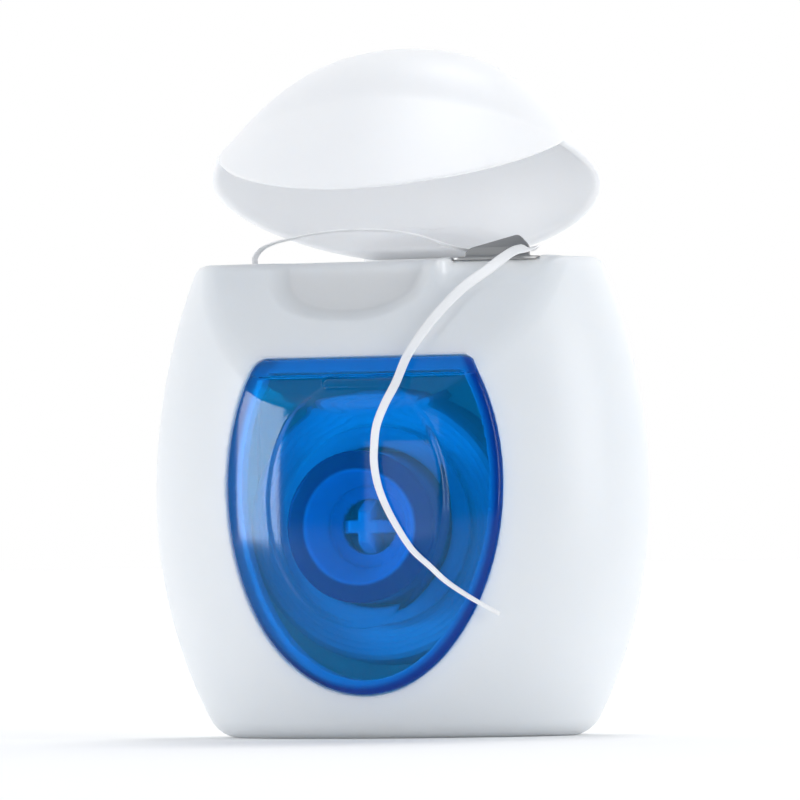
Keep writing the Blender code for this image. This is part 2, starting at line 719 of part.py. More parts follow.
def make_hinge(material):
    """A thin web, upright in the case's notch and tilted with the lid above it."""
    y, z = hinge_depth(), hinge_height()
    tilt = math.radians(LID_OPEN_DEG)
    foot = CASE_HEIGHT - CASE_NOTCH_HEIGHT + FIT_GAP
    reach = LID_NOTCH_HEIGHT - HINGE_RISE - FIT_GAP
    points = [(y, foot)]
    steps = 2 * ROUND_RINGS
    for i in range(steps + 1):
        t = i / steps
        before = (1 - t) ** 2 * -HINGE_BEND
        after = t**2 * HINGE_BEND
        points.append((y + after * math.sin(tilt), z + before + after * math.cos(tilt)))
    points.append((y + reach * math.sin(tilt), z + reach * math.cos(tilt)))
    near, far = [], []
    for i, point in enumerate(points):
        before = Vector(points[max(i - 1, 0)])
        after = Vector(points[min(i + 1, len(points) - 1)])
        along = (after - before).normalized()
        side = Vector((along.y, -along.x)) * HINGE_THICKNESS / 2
        near.append(tuple(Vector(point) - side))
        far.append(tuple(Vector(point) + side))
    web = prism("living_hinge", near + far[::-1], "X", -HINGE_HALF_WIDTH, HINGE_HALF_WIDTH)
    pivot = add_pivot("hinge_pivot", Vector((0, y, z)))
    bake(web, material)
    hang(web, pivot)


def make_cutter(material):
    seat = CASE_HEIGHT + SEAT_GAP
    top = seat + CLIP_THICKNESS
    clip = shelf_form("floss_cutter", CLIP_EDGE_MARGIN, CLIP_END_MARGIN, clip_back(), seat, top)
    left = SHELF_LEFT + CLIP_END_MARGIN + TOOTH_MARGIN
    face = -SCOOP_EDGE_DEPTH - SHELF_REACH + CLIP_EDGE_MARGIN + TOOTH_SETBACK
    shoulder, peak, shoulder_end = TOOTH_OUTLINE_SHARES
    outline = [
        (left, seat + CLIP_THICKNESS / 2),
        (left + TOOTH_LENGTH, seat + CLIP_THICKNESS / 2),
        (left + TOOTH_LENGTH, top + TOOTH_END_HEIGHT),
        (left + TOOTH_LENGTH * shoulder_end, top + TOOTH_PEAK_HEIGHT - TOOTH_START_HEIGHT / 4),
        (left + TOOTH_LENGTH * peak, top + TOOTH_PEAK_HEIGHT),
        (left + TOOTH_LENGTH * shoulder, top + TOOTH_SHOULDER_HEIGHT),
        (left, top + TOOTH_START_HEIGHT),
    ]
    combine(clip, prism("cutter_tooth", outline, "Y", face, face + CLIP_THICKNESS), "UNION")
    foot = CASE_HEIGHT - DECK_THICKNESS
    for index, x in enumerate(leg_centres()):
        low = (x - LEG_WIDTH / 2, clip_back() - CLIP_THICKNESS, foot)
        leg = box("cutter_leg_%d" % index, low, (x + LEG_WIDTH / 2, clip_back(), top - CLIP_THICKNESS / 2))
        combine(clip, leg, "UNION")
    return bake(clip, material)


def smooth_route(points, step):
    """Points at even steps along a smooth curve through the chosen ones."""
    ends = [points[0] * 2 - points[1]] + points + [points[-1] * 2 - points[-2]]
    fine = []
    for i in range(1, len(ends) - 2):
        a, b, c, d = ends[i - 1 : i + 3]
        for k in range(RING_POINTS):
            t = k / RING_POINTS
            fine.append(
                (b * 2 + (c - a) * t + (a * 2 - b * 5 + c * 4 - d) * t**2 + (b * 3 - a - c * 3 + d) * t**3) / 2
            )
    fine.append(points[-1])
    length = sum((after - before).length for before, after in zip(fine, fine[1:]))
    count = max(round(length / step), 1)
    kept, travelled, wanted = [fine[0]], 0.0, length / count
    for before, after in zip(fine, fine[1:]):
        travelled += (after - before).length
        if travelled >= wanted * len(kept) and len(kept) < count:
            kept.append(after)
    return kept + [fine[-1]]


def make_floss(name, route, material):
    points = smooth_route([Vector(point) for point in route], FLOSS_DIAMETER * CORD_STEP_SHARE)
    curve = bpy.data.curves.new(name, "CURVE")
    curve.dimensions = "3D"
    curve.bevel_depth = FLOSS_DIAMETER / 2
    curve.bevel_resolution = 2
    curve.use_fill_caps = True
    spline = curve.splines.new("POLY")
    spline.points.add(len(points) - 1)
    for spot, point in zip(spline.points, points):
        spot.co = (*point, 1)
    curve.materials.append(material)
    item = bpy.data.objects.new(name, curve)
    bpy.context.scene.collection.objects.link(item)


def main():
    clear_scene()
    make_front_case(finish("case_white", (0.80, 0.83, 0.86), 0.35))
    make_rear_cover(finish("cover_white", (0.80, 0.83, 0.86), 0.35))
    make_window(finish("window_blue", (0.0, 0.13, 0.47), 0.1, alpha=0.85))
    spool_y = make_spool(
        finish("core_white", (0.82, 0.83, 0.84), 0.45),
        finish("winding_white", (0.86, 0.87, 0.88), 0.7),
    )
    make_lid(finish("lid_white", (0.82, 0.85, 0.88), 0.35))
    make_hinge(finish("hinge_white", (0.82, 0.85, 0.88), 0.4))
    make_cutter(finish("cutter_steel", (0.52, 0.53, 0.54), 0.3, metallic=1.0))
    side = WINDING_RADIUS + FLOSS_DIAMETER / 2 + FIT_GAP
    exit_point = (EXIT_X, -EXIT_DEPTH, CASE_HEIGHT - DECK_THICKNESS * 2)
    mouth = (EXIT_X, -EXIT_DEPTH, CASE_HEIGHT)
    feed = [(-side, spool_y, HUB_HEIGHT), (-side, spool_y, HUB_HEIGHT + WINDING_RADIUS), exit_point, mouth]
    make_floss("floss_feed", feed, finish("feed_white", (0.86, 0.87, 0.88), 0.6))
    for name, route in (("floss_arch", ARCH_ROUTE), ("floss_tail", TAIL_ROUTE)):
        scaled = [tuple(value * MM for value in point) for point in route]
        make_floss(name, scaled, finish(name + "_white", (0.86, 0.87, 0.88), 0.6))


main()
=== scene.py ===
import math

import bmesh
import bpy
import numpy as np
from mathutils import Matrix, Vector


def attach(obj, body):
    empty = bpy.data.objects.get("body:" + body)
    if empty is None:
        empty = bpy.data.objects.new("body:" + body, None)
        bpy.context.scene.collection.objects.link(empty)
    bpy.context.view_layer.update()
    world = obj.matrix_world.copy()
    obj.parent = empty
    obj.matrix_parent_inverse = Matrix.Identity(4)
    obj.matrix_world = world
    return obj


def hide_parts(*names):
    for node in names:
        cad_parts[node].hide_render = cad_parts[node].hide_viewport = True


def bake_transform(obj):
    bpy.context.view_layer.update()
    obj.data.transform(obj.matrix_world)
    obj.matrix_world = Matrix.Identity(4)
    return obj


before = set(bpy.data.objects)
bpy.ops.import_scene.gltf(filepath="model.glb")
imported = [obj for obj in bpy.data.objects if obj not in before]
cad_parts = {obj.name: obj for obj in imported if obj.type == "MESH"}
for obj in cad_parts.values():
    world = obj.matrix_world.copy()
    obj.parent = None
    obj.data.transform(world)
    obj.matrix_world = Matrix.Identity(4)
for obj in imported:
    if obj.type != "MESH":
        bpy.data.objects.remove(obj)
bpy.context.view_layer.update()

MM = 0.001

# Sizes in millimetres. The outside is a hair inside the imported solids
DECK = 44.4
HALF_WIDTH, WIDEST_Z, SIDE_RADIUS_ABOVE, SIDE_RADIUS_BELOW = 23.97, 22.5, 56.5, 45.4
HALF_DEPTH, DEEPEST_Z, FACE_RADIUS = 14.58, 19.6, 111.0
TOE_Z, TOE_RADIUS = 11.0, 17.5
SECTION_POWER = 1.8
SCOOP_Y, SCOOP_SLOPE = 4.77, 0.655
SCOOP_STRETCH = math.hypot(1, SCOOP_SLOPE)
SCOOP_ROUND, DECK_ROUND, BASE_ROUND = 0.7, 0.75, 1.6
WALL, PARTING_Y, DECK_LAP = 1.4, 4.0, 2.2
PARTING_GAP, PARTING_ROUND = 0.12, 0.26

# Finger recess in the scoop, under the arch of floss
DISH_X, DISH_Z, DISH_DEPTH = -2.9, 43.9, 0.9
DISH_HALF_WIDTH, DISH_HALF_HEIGHT, DISH_POWER, DISH_WALL_SHARE = 8.3, 5.3, 2.3, 0.24

# Shelf at the deck's front edge, and the cutter clip that is let into it
SHELF_X, SHELF_HALF_LENGTH, SHELF_FRONT, SHELF_DROP, SHELF_INSET = 10.925, 5.475, 6.25, 4, 1.35
SHELF_CORNER, SHELF_BLEND, SHELF_EDGE, SHELF_FILLET = 1.5, 1.2, 0.3, 0.5
CLIP_Z = DECK - 0.29
CLIP_Y, CLIP_HALF_LENGTH, CLIP_HALF_WIDTH, CLIP_CORNER, CLIP_INSET = -3.485, 4.275, 2.735, 1.4, 1.4
CLIP_GAP, POCKET_ROUND = 0.06, 0.08
HALF_SHEET = 0.17
TOOTH_Y, TOOTH_LEFT, TOOTH_RIGHT, TOOTH_CREASE_Z, TOOTH_LEAN = -4.67, 8.1, 14.3, 45.35, 0.34
TOOTH_FOOT_TAPER_Z, TOOTH_FOOT_TAPER = 44.9, 0.9
TOOTH_RISE_X, TOOTH_RISE_Z, TOOTH_RISE = 8.9, 45.38, 0.262
TOOTH_FALL_X, TOOTH_FALL_Z, TOOTH_FALL = 13.35, 46.32, 0.95
LEG_Y, LEG_SPREAD, LEG_HALF_WIDTH, LEG_DEPTH = -0.925, 2.675, 0.6, 1.55

# Window, its seat in the case, and the hub tube behind it
WINDOW_HALF_WIDTH, WINDOW_Z, WINDOW_DROP, WINDOW_RISE, WINDOW_TOP = 13.3, 23.5, 19.4, 18.3, 35.2
WINDOW_CORNER, WINDOW_THICKNESS, WINDOW_GAP = 0.6, 1.2, 0.1
LEDGE_WIDTH, LEDGE_DEPTH, SEAT_DEPTH, SEAT_ROUND = 1.5, 2.8, 1.35, 0.22
LENS_HALF_WIDTH, LENS_Z, LENS_HALF_HEIGHT, LENS_RAISE = 8.55, 21.9, 11.4, 0.42
LENS_TOP, LENS_TOP_OVER, LENS_FOOT, LENS_FOOT_OVER = 31.5, 4, 11.0, 5
GROOVE_DEPTH, GROOVE_FROM, GROOVE_OVER, BAR_HEIGHT = 0.38, 30.2, 1.6, 1.65
RIB_Z, RIB_HALF_LENGTH, RIB_HALF_HEIGHT, RIB_ROOT = 32.9, 3.6, 0.5, 0.9
WINDOW_BACK_Y = -3
HUB_Z, HUB_RADIUS, HUB_BORE, HUB_END_Y, HUB_SKIN = 19.6, 7.0, 4.5, 4.6, 1.5
MOUTH_Y, MOUTH_RADIUS, MOUTH_FLOOR_RADIUS, MOUTH_TAPER, MOUTH_END_Y = -13.6, 5.45, 3.75, 0.5, -8.9
RING_Y, RING_RADIUS, RING_HALF_THICKNESS, BORE_START_Y = -9.25, 2.55, 0.35, -9.6

# Post and socket on the rear cover
POST_Y, POST_TIP, POST_ROOT, POST_TAPER, POST_HALF_RIB = -11.2, 1.45, 4.1, 0.5, 0.6
CONE_Y, CONE_SLOPE, CONE_RADIUS = -9.2, 0.85, 3.4
SOCKET_RADIUS, SOCKET_HALF_WALL, SOCKET_Y, COVER_SKIN = 7.85, 0.5, 3.0, 0.7
SLEEVE_OUTSIDE, SLEEVE_INSIDE, SLEEVE_REACH, SLEEVE_DROP = 1.75, 2.6, 1.9, 0.6
SLEEVE_ROOT, SLEEVE_ROOT_START, SLEEVE_ROOT_END = 0.9, 0.5, 5.9

# Spool core
CORE_Y, CORE_RADIUS, CORE_HALF_WALL, CORE_HALF_LENGTH = -2.65, 7.8, 0.45, 5.3
CORE_RIM_INSIDE, CORE_RIM_OUTSIDE, CORE_RIM_OFFSET, CORE_RIM_HALF_THICKNESS = 7.5, 9.15, 4.95, 0.35

# Exit hole for the floss
EXIT_X, EXIT_Y, EXIT_RADIUS, EXIT_DEPTH, EXIT_ROUND = -13.6, -1.5, 1.1, 4, 0.25

# Lid: a dome over the deck and a skirt over the scoop, and its living hinge
DOME_HEIGHT, DOME_LEAN = 12.25, 3.5
DOME_WIDTH_POWER, DOME_DEPTH_POWERS, DOME_SQUARENESS = 0.454, (1.52, 0.615), 0.37
LEAN_START, LEAN_KEPT, WAIST_SLOPE, WAIST_SHARE = 0.12, 0.83, 0.22, 0.15
DOME_FLATNESS = 1.6
LID_WALL, LID_GAP = 1.0, 0.3
LID_BAR_INSET, LID_BAR_HALF_DEPTH, LID_BAR_HALF_WIDTH, LID_BAR_RISE = 0.55, 0.85, 8.2, 0.9
LID_NOTCH, CASE_NOTCH, NOTCH_HALF_WIDTH = 1.7, 1.1, 7.3
OPEN_ANGLE = math.radians(39.9)
HINGE_Y = HALF_DEPTH - (FACE_RADIUS - math.sqrt(FACE_RADIUS**2 - (DECK - DEEPEST_Z) ** 2)) - 0.59
HINGE_Z = DECK + 0.5
HINGE_FACE = HINGE_Y - 0.5
HINGE_HALF_WIDTH, HINGE_BEND = 7.0, 0.35


# Objects
def add_item(name, data):
    item = bpy.data.objects.new(name, data)
    bpy.context.scene.collection.objects.link(item)
    return item


def add_built(name, builder):
    mesh = bpy.data.meshes.new(name)
    builder.to_mesh(mesh)
    builder.free()
    return add_item(name, mesh)


# Camera, fitted to the photograph. It looks up by 159.9 pixels at a focal length of 7359 pixels
CAMERA_PLACE = (209.5, -656.4, 16.49)
CAMERA_AZIMUTH, CAMERA_ROLL = math.radians(17.7), math.radians(0.83)
CAMERA_TILT = 159.9 / 7359
CAMERA_LENS, SENSOR_WIDTH = 331.2, 36
CAMERA_NEAR, CAMERA_FAR = 0.05, 20


def add_camera():
    across = Vector((math.cos(CAMERA_AZIMUTH), math.sin(CAMERA_AZIMUTH), 0))
    into = Vector((-math.sin(CAMERA_AZIMUTH), math.cos(CAMERA_AZIMUTH), 0))
    up = Vector((0, 0, 1)) + across * math.tan(CAMERA_ROLL)
    forward = (into + Vector((0, 0, 1)) * CAMERA_TILT).normalized()
    right = forward.cross(up).normalized()
    true_up = right.cross(forward)
    data = bpy.data.cameras.new("camera")
    data.lens = CAMERA_LENS
    data.sensor_width = SENSOR_WIDTH
    data.clip_start, data.clip_end = CAMERA_NEAR, CAMERA_FAR
    item = add_item("camera", data)
    matrix = Matrix((right, true_up, -forward)).transposed().to_4x4()
    matrix.translation = Vector(CAMERA_PLACE) * MM
    item.matrix_world = matrix
    bpy.context.scene.camera = item


add_camera()


# Fields: signed distances in millimetres, negative inside
def meet(a, b, r):
    """What two forms share, with an edge rounded to r."""
    return np.minimum(np.maximum(a, b), -r) + np.hypot(np.maximum(a + r, 0), np.maximum(b + r, 0))


def merge(a, b, r):
    """Two forms as one, with a fillet of r."""
    return -meet(-a, -b, r)


def sagitta(radius, offset):
    """How far an arc of this radius falls back at an offset from its top."""
    return radius - np.sqrt(np.maximum(radius**2 - offset**2, 0))


def half_width(z):
    """The case's half width at a height."""
    radius = np.where(z > WIDEST_Z, SIDE_RADIUS_ABOVE, SIDE_RADIUS_BELOW)
    return HALF_WIDTH - sagitta(radius, z - WIDEST_Z)


def half_depth(z):
    """The case's half depth at a height."""
    toe = sagitta(TOE_RADIUS, np.maximum(TOE_Z - z, 0))
    return HALF_DEPTH - sagitta(FACE_RADIUS, z - DEEPEST_Z) - toe


def oval(x, y, width, depth, power=SECTION_POWER):
    """Distance to an oval ring of half sizes width and depth."""
    px, py = np.abs(x) / width + 1e-6, np.abs(y) / depth + 1e-6
    total = px**power + py**power
    reach = total ** (1 / power)
    slope = total ** (1 / power - 1) * np.hypot(px ** (power - 1) / width, py ** (power - 1) / depth)
    return (reach - 1) / slope


def pebble(x, y, z, inset=0.0):
    """The case's side wall, or the same wall further in."""
    return oval(x, y, half_width(z) - inset, half_depth(z) - inset)


def scoop(y, z):
    """Positive in front of the scoop's plane."""
    return (-y - SCOOP_Y - SCOOP_SLOPE * (DECK - z)) / SCOOP_STRETCH


def window(x, z, grow=0.0):
    """The window's outline from the front: two half ovals with a flat top."""
    rise = np.where(z > WINDOW_Z, WINDOW_RISE, WINDOW_DROP)
    outline = oval(x, z - WINDOW_Z, WINDOW_HALF_WIDTH, rise, 2)
    return meet(outline, z - WINDOW_TOP, WINDOW_CORNER) - grow


def finger_dish(x, z):
    """How deep the shallow finger recess is cut into the scoop."""
    along = np.abs((x - DISH_X) / DISH_HALF_WIDTH) ** DISH_POWER
    upward = np.abs((z - DISH_Z) / DISH_HALF_HEIGHT) ** DISH_POWER
    reach = (along + upward) ** (1 / DISH_POWER)
    wall = np.clip((1 - reach) / DISH_WALL_SHARE, 0, 1)
    return DISH_DEPTH * wall * wall * (3 - 2 * wall)


def body(x, y, z):
    """The closed case before any cut."""
    side = pebble(x, y, z)
    dished = scoop(y, z) + finger_dish(x, z)
    shaped = meet(side, dished, SCOOP_ROUND)
    shaped = meet(shaped, z - DECK, DECK_ROUND)
    return meet(shaped, -z, BASE_ROUND)


def shelf(x, y, z):
    """The block that carries the cutter at the deck's front edge."""
    block = meet(np.abs(x - SHELF_X) - SHELF_HALF_LENGTH, -y - SHELF_FRONT, SHELF_CORNER)
    block = meet(block, pebble(x, y, z, SHELF_INSET), SHELF_BLEND)
    block = meet(block, z - DECK, SHELF_EDGE)
    return np.maximum(block, np.maximum(y, DECK - SHELF_DROP - z))


def clip_outline(x, y, z, grow=0.0):
    """The steel clip's plate, seen from above."""
    plate = meet(np.abs(x - SHELF_X) - CLIP_HALF_LENGTH, np.abs(y - CLIP_Y) - CLIP_HALF_WIDTH, CLIP_CORNER)
    return meet(plate, pebble(x, y, z, CLIP_INSET), 0.3) - grow


def case_solid(x, y, z):
    """The case with the cutter's shelf, and the pocket that the clip lies in."""
    solid = merge(body(x, y, z), shelf(x, y, z), SHELF_FILLET)
    pocket = np.maximum(clip_outline(x, y, z, CLIP_GAP), CLIP_Z - CLIP_GAP / 2 - z)
    return meet(solid, -pocket, POCKET_ROUND)


def case_shell(x, y, z):
    """Both shells as one: hollow, with the window's seat, the ledge behind it and the opening."""
    outer = case_solid(x, y, z)
    deep = np.maximum(np.maximum(pebble(x, y, z), scoop(y, z)), np.maximum(z - DECK, -z))
    front = np.maximum(y + SCOOP_Y, 0) - WINDOW_GAP
    ledge = np.maximum(np.maximum(window(x, z, LEDGE_WIDTH), -(deep + LEDGE_DEPTH)), front)
    hollow = np.maximum(deep + WALL, -ledge)
    shell = np.maximum(outer, -hollow)
    seat = np.maximum(window(x, z, WINDOW_GAP), -(deep + SEAT_DEPTH))
    shell = meet(shell, -np.maximum(seat, front), SEAT_ROUND)
    hole = np.maximum(window(x, z, -LEDGE_WIDTH), front)
    return np.maximum(shell, -hole)


def front_field(x, y, z):
    """The front case: the shell before the parting line, with the exit hole and the web's notch."""
    shell = case_shell(x, y, z)
    rear = np.maximum(PARTING_Y - y, z - (DECK - DECK_LAP))
    shell = meet(shell, -rear, PARTING_ROUND)
    exit_hole = np.maximum(np.hypot(x - EXIT_X, y - EXIT_Y) - EXIT_RADIUS, DECK - EXIT_DEPTH - z)
    shell = meet(shell, -exit_hole, EXIT_ROUND)
    notch = np.maximum(np.maximum(np.abs(x) - NOTCH_HALF_WIDTH, HINGE_FACE - y), DECK - CASE_NOTCH - z)
    return meet(shell, -notch, 0.2)


def rear_field(x, y, z):
    """The rear cover: the shell behind the parting line, with its locating lip, socket ring and post."""
    shell = case_shell(x, y, z)
    near, top = PARTING_Y + PARTING_GAP, DECK - DECK_LAP - PARTING_GAP
    cover = meet(shell, np.maximum(near - y, z - top), PARTING_ROUND)
    sleeve = np.maximum(pebble(x, y, z, SLEEVE_OUTSIDE), -pebble(x, y, z, SLEEVE_INSIDE))
    sleeve = np.maximum(np.maximum(sleeve, SLEEVE_OUTSIDE - z), np.abs(y - PARTING_Y) - SLEEVE_REACH)
    sleeve = np.maximum(sleeve, z - (top - SLEEVE_DROP))
    root = np.maximum(pebble(x, y, z, SLEEVE_ROOT), -pebble(x, y, z, SLEEVE_INSIDE))
    root = np.maximum(root, SLEEVE_ROOT - z)
    root = np.maximum(root, np.maximum(near + SLEEVE_ROOT_START - y, y - SLEEVE_ROOT_END))
    root = np.maximum(root, z - (top - SLEEVE_ROOT))
    cover = np.minimum(cover, np.minimum(sleeve, root))
    radius = np.hypot(x, z - HUB_Z)
    inside = pebble(x, y, z, COVER_SKIN)
    socket = np.maximum(np.maximum(np.abs(radius - SOCKET_RADIUS) - SOCKET_HALF_WALL, SOCKET_Y - y), inside)
    reach = np.clip(POST_TIP + (y - POST_Y) * POST_TAPER, POST_TIP, POST_ROOT)
    upright = np.maximum(np.abs(x) - POST_HALF_RIB, np.abs(z - HUB_Z) - reach)
    level = np.maximum(np.abs(z - HUB_Z) - POST_HALF_RIB, np.abs(x) - reach)
    ribs = meet(np.minimum(upright, level), POST_Y - y, 0.25)
    cone = np.maximum(np.maximum(radius - CONE_SLOPE * (y - CONE_Y), radius - CONE_RADIUS), CONE_Y - y)
    post = np.maximum(merge(ribs, cone, 0.3), inside)
    return merge(cover, np.minimum(socket, post), 0.3)


def lid_form(x, y, z, inset=0.0):
    """The closed lid's outer form, or the form of its hollow."""
    tall = DOME_HEIGHT - inset
    rise = np.clip((z - DECK) / tall, 0, 0.9999)
    first, second = DOME_DEPTH_POWERS
    width = (half_width(np.minimum(z, DECK)) - inset) * (1 - rise) ** DOME_WIDTH_POWER
    waist = WAIST_SLOPE * tall * rise * np.exp(-rise / WAIST_SHARE)
    depth = (half_depth(np.minimum(z, DECK)) - inset - waist) * (1 - rise**first) ** second
    lean = DOME_LEAN * (rise - LEAN_START * (1 - np.exp(-rise / LEAN_START))) / (1 - LEAN_START / LEAN_KEPT)
    dome = oval(x, y + lean, width, depth, SECTION_POWER + DOME_SQUARENESS * rise)
    steep = np.where(z > DECK, np.sqrt(1 + (rise * DOME_FLATNESS) ** 4), 1)
    return np.maximum(dome / steep, (z - DECK - tall) * 0.5)


def lid_field(x, y, z):
    """The closed lid: a thin wall, open below, with a bar inside the rim that the web is moulded to."""
    outer = lid_form(x, y, z)
    inner = lid_form(x, y, z, LID_WALL)
    above = np.minimum(DECK + LID_GAP - z, -(scoop(y, z) - LID_GAP))
    shell = meet(outer, -inner, 0.25)
    bar = np.abs(y - HINGE_FACE + LID_BAR_INSET) - LID_BAR_HALF_DEPTH
    bar = np.maximum(bar, z - DECK - LID_NOTCH - LID_BAR_RISE)
    bar = np.maximum(np.maximum(np.abs(x) - LID_BAR_HALF_WIDTH, bar), lid_form(x, y, z, LID_WALL / 2))
    shell = merge(shell, bar, 0.4)
    shell = meet(shell, above, 0.35)
    notch = np.maximum(np.maximum(np.abs(x) - NOTCH_HALF_WIDTH, HINGE_FACE - y), z - DECK - LID_NOTCH)
    return meet(shell, -notch, 0.1)


def window_front(x, y, z):
    """The window's front: flush with the case, with the groove, lip bar and rib above the lens."""
    above = scoop(y, z)
    ramp = np.clip((z - GROOVE_FROM) / GROOVE_OVER, 0, 1)
    ramp = ramp * ramp * (3 - 2 * ramp)
    bar = meet(above, WINDOW_TOP - BAR_HEIGHT - z, 0.12)
    plane = merge(above + GROOVE_DEPTH * ramp, bar, 0.1)
    base = meet(pebble(x, y, z), plane, 0.45)
    lens = oval(x, z - LENS_Z, LENS_HALF_WIDTH, LENS_HALF_HEIGHT, 2)
    fade = np.clip((LENS_TOP - z) / LENS_TOP_OVER, 0, 1)
    fade = fade * np.clip((z - LENS_FOOT) / LENS_FOOT_OVER, 0, 1)
    raised = meet(pebble(x, y, z) - LENS_RAISE * fade, plane, 0.3)
    front = merge(base, meet(lens, raised, 0.3), 0.45)
    rib = meet(np.abs(x) - RIB_HALF_LENGTH, np.abs(z - RIB_Z) - RIB_HALF_HEIGHT, 0.45)
    rib = meet(rib, above - 0.02, 0.4)
    return merge(front, np.maximum(rib, -above - RIB_ROOT), 0.25)


def window_field(x, y, z):
    """The window's plate, a little thinner than its seat is deep."""
    front = window_front(x, y, z)
    deep = np.maximum(pebble(x, y, z), scoop(y, z))
    edge = window(x, z, -0.02)
    plate = np.maximum(meet(front, edge, 0.28), -(deep + WINDOW_THICKNESS))
    return np.maximum(plate, y - WINDOW_BACK_Y)


def hub_field(x, y, z):
    """Hub tube: a flared mouth, a floor ring behind it, and the bore that the post stands in."""
    deep = np.maximum(pebble(x, y, z), scoop(y, z))
    radius = np.hypot(x, z - HUB_Z)
    mouth = np.clip(MOUTH_RADIUS - (y - MOUTH_Y) * MOUTH_TAPER, MOUTH_FLOOR_RADIUS, MOUTH_RADIUS)
    floor = np.maximum(RING_RADIUS - radius, np.abs(y - RING_Y) - RING_HALF_THICKNESS)
    back = np.maximum(HUB_BORE - radius, BORE_START_Y - y)
    wall = np.minimum(np.minimum(meet(mouth - radius, y - MOUTH_END_Y, 0.25), floor), back)
    tube = meet(meet(wall, radius - HUB_RADIUS, 0.3), y - HUB_END_Y, 0.3)
    return meet(tube, deep + HUB_SKIN, 0.2)


def cutter_field(x, y, z):
    """Stamped clip: plate let into the shelf, bent-up tooth with a crease, two legs through the deck."""
    plate = meet(clip_outline(x, y, z), np.abs(z - CLIP_Z - HALF_SHEET) - HALF_SHEET, 0.06)
    lean = np.maximum(z - TOOTH_CREASE_Z, 0) * TOOTH_LEAN
    slab = np.abs(y - TOOTH_Y - lean) - HALF_SHEET
    rising = (z - TOOTH_RISE_Z) - (x - TOOTH_RISE_X) * TOOTH_RISE
    falling = (z - TOOTH_FALL_Z) + (x - TOOTH_FALL_X) * TOOTH_FALL
    outline = meet(rising, falling, 0.35)
    outline = meet(outline, x - TOOTH_RIGHT, 0.3)
    left_edge = TOOTH_LEFT - x + np.maximum(z - TOOTH_FOOT_TAPER_Z, 0) * TOOTH_FOOT_TAPER
    outline = meet(outline, left_edge, 0.3)
    tooth = meet(np.maximum(outline, CLIP_Z + 0.1 - z), slab, 0.06)
    legs = np.abs(np.abs(x - SHELF_X) - LEG_SPREAD) - LEG_HALF_WIDTH
    legs = meet(legs, np.abs(y - LEG_Y) - HALF_SHEET, 0.05)
    legs = np.maximum(legs, np.maximum(DECK - LEG_DEPTH - z, z - CLIP_Z - 0.2))
    return merge(merge(plate, tooth, 0.16), legs, 0.1)


def core_field(x, y, z):
    """Spool core: a tube with two rims, all edges rounded."""
    along = np.abs(y - CORE_Y)
    radius = np.hypot(x, z - HUB_Z)
    tube = meet(np.abs(radius - CORE_RADIUS) - CORE_HALF_WALL, along - CORE_HALF_LENGTH, 0.18)
    ends = np.abs(along - CORE_RIM_OFFSET) - CORE_RIM_HALF_THICKNESS
    rims = meet(np.maximum(CORE_RIM_INSIDE - radius, radius - CORE_RIM_OUTSIDE), ends, 0.22)
    return merge(tube, rims, 0.25)


# Surface nets
NUDGE = 0.03
SETTLING_ROUNDS, SETTLING_LIMIT = 3, 0.6


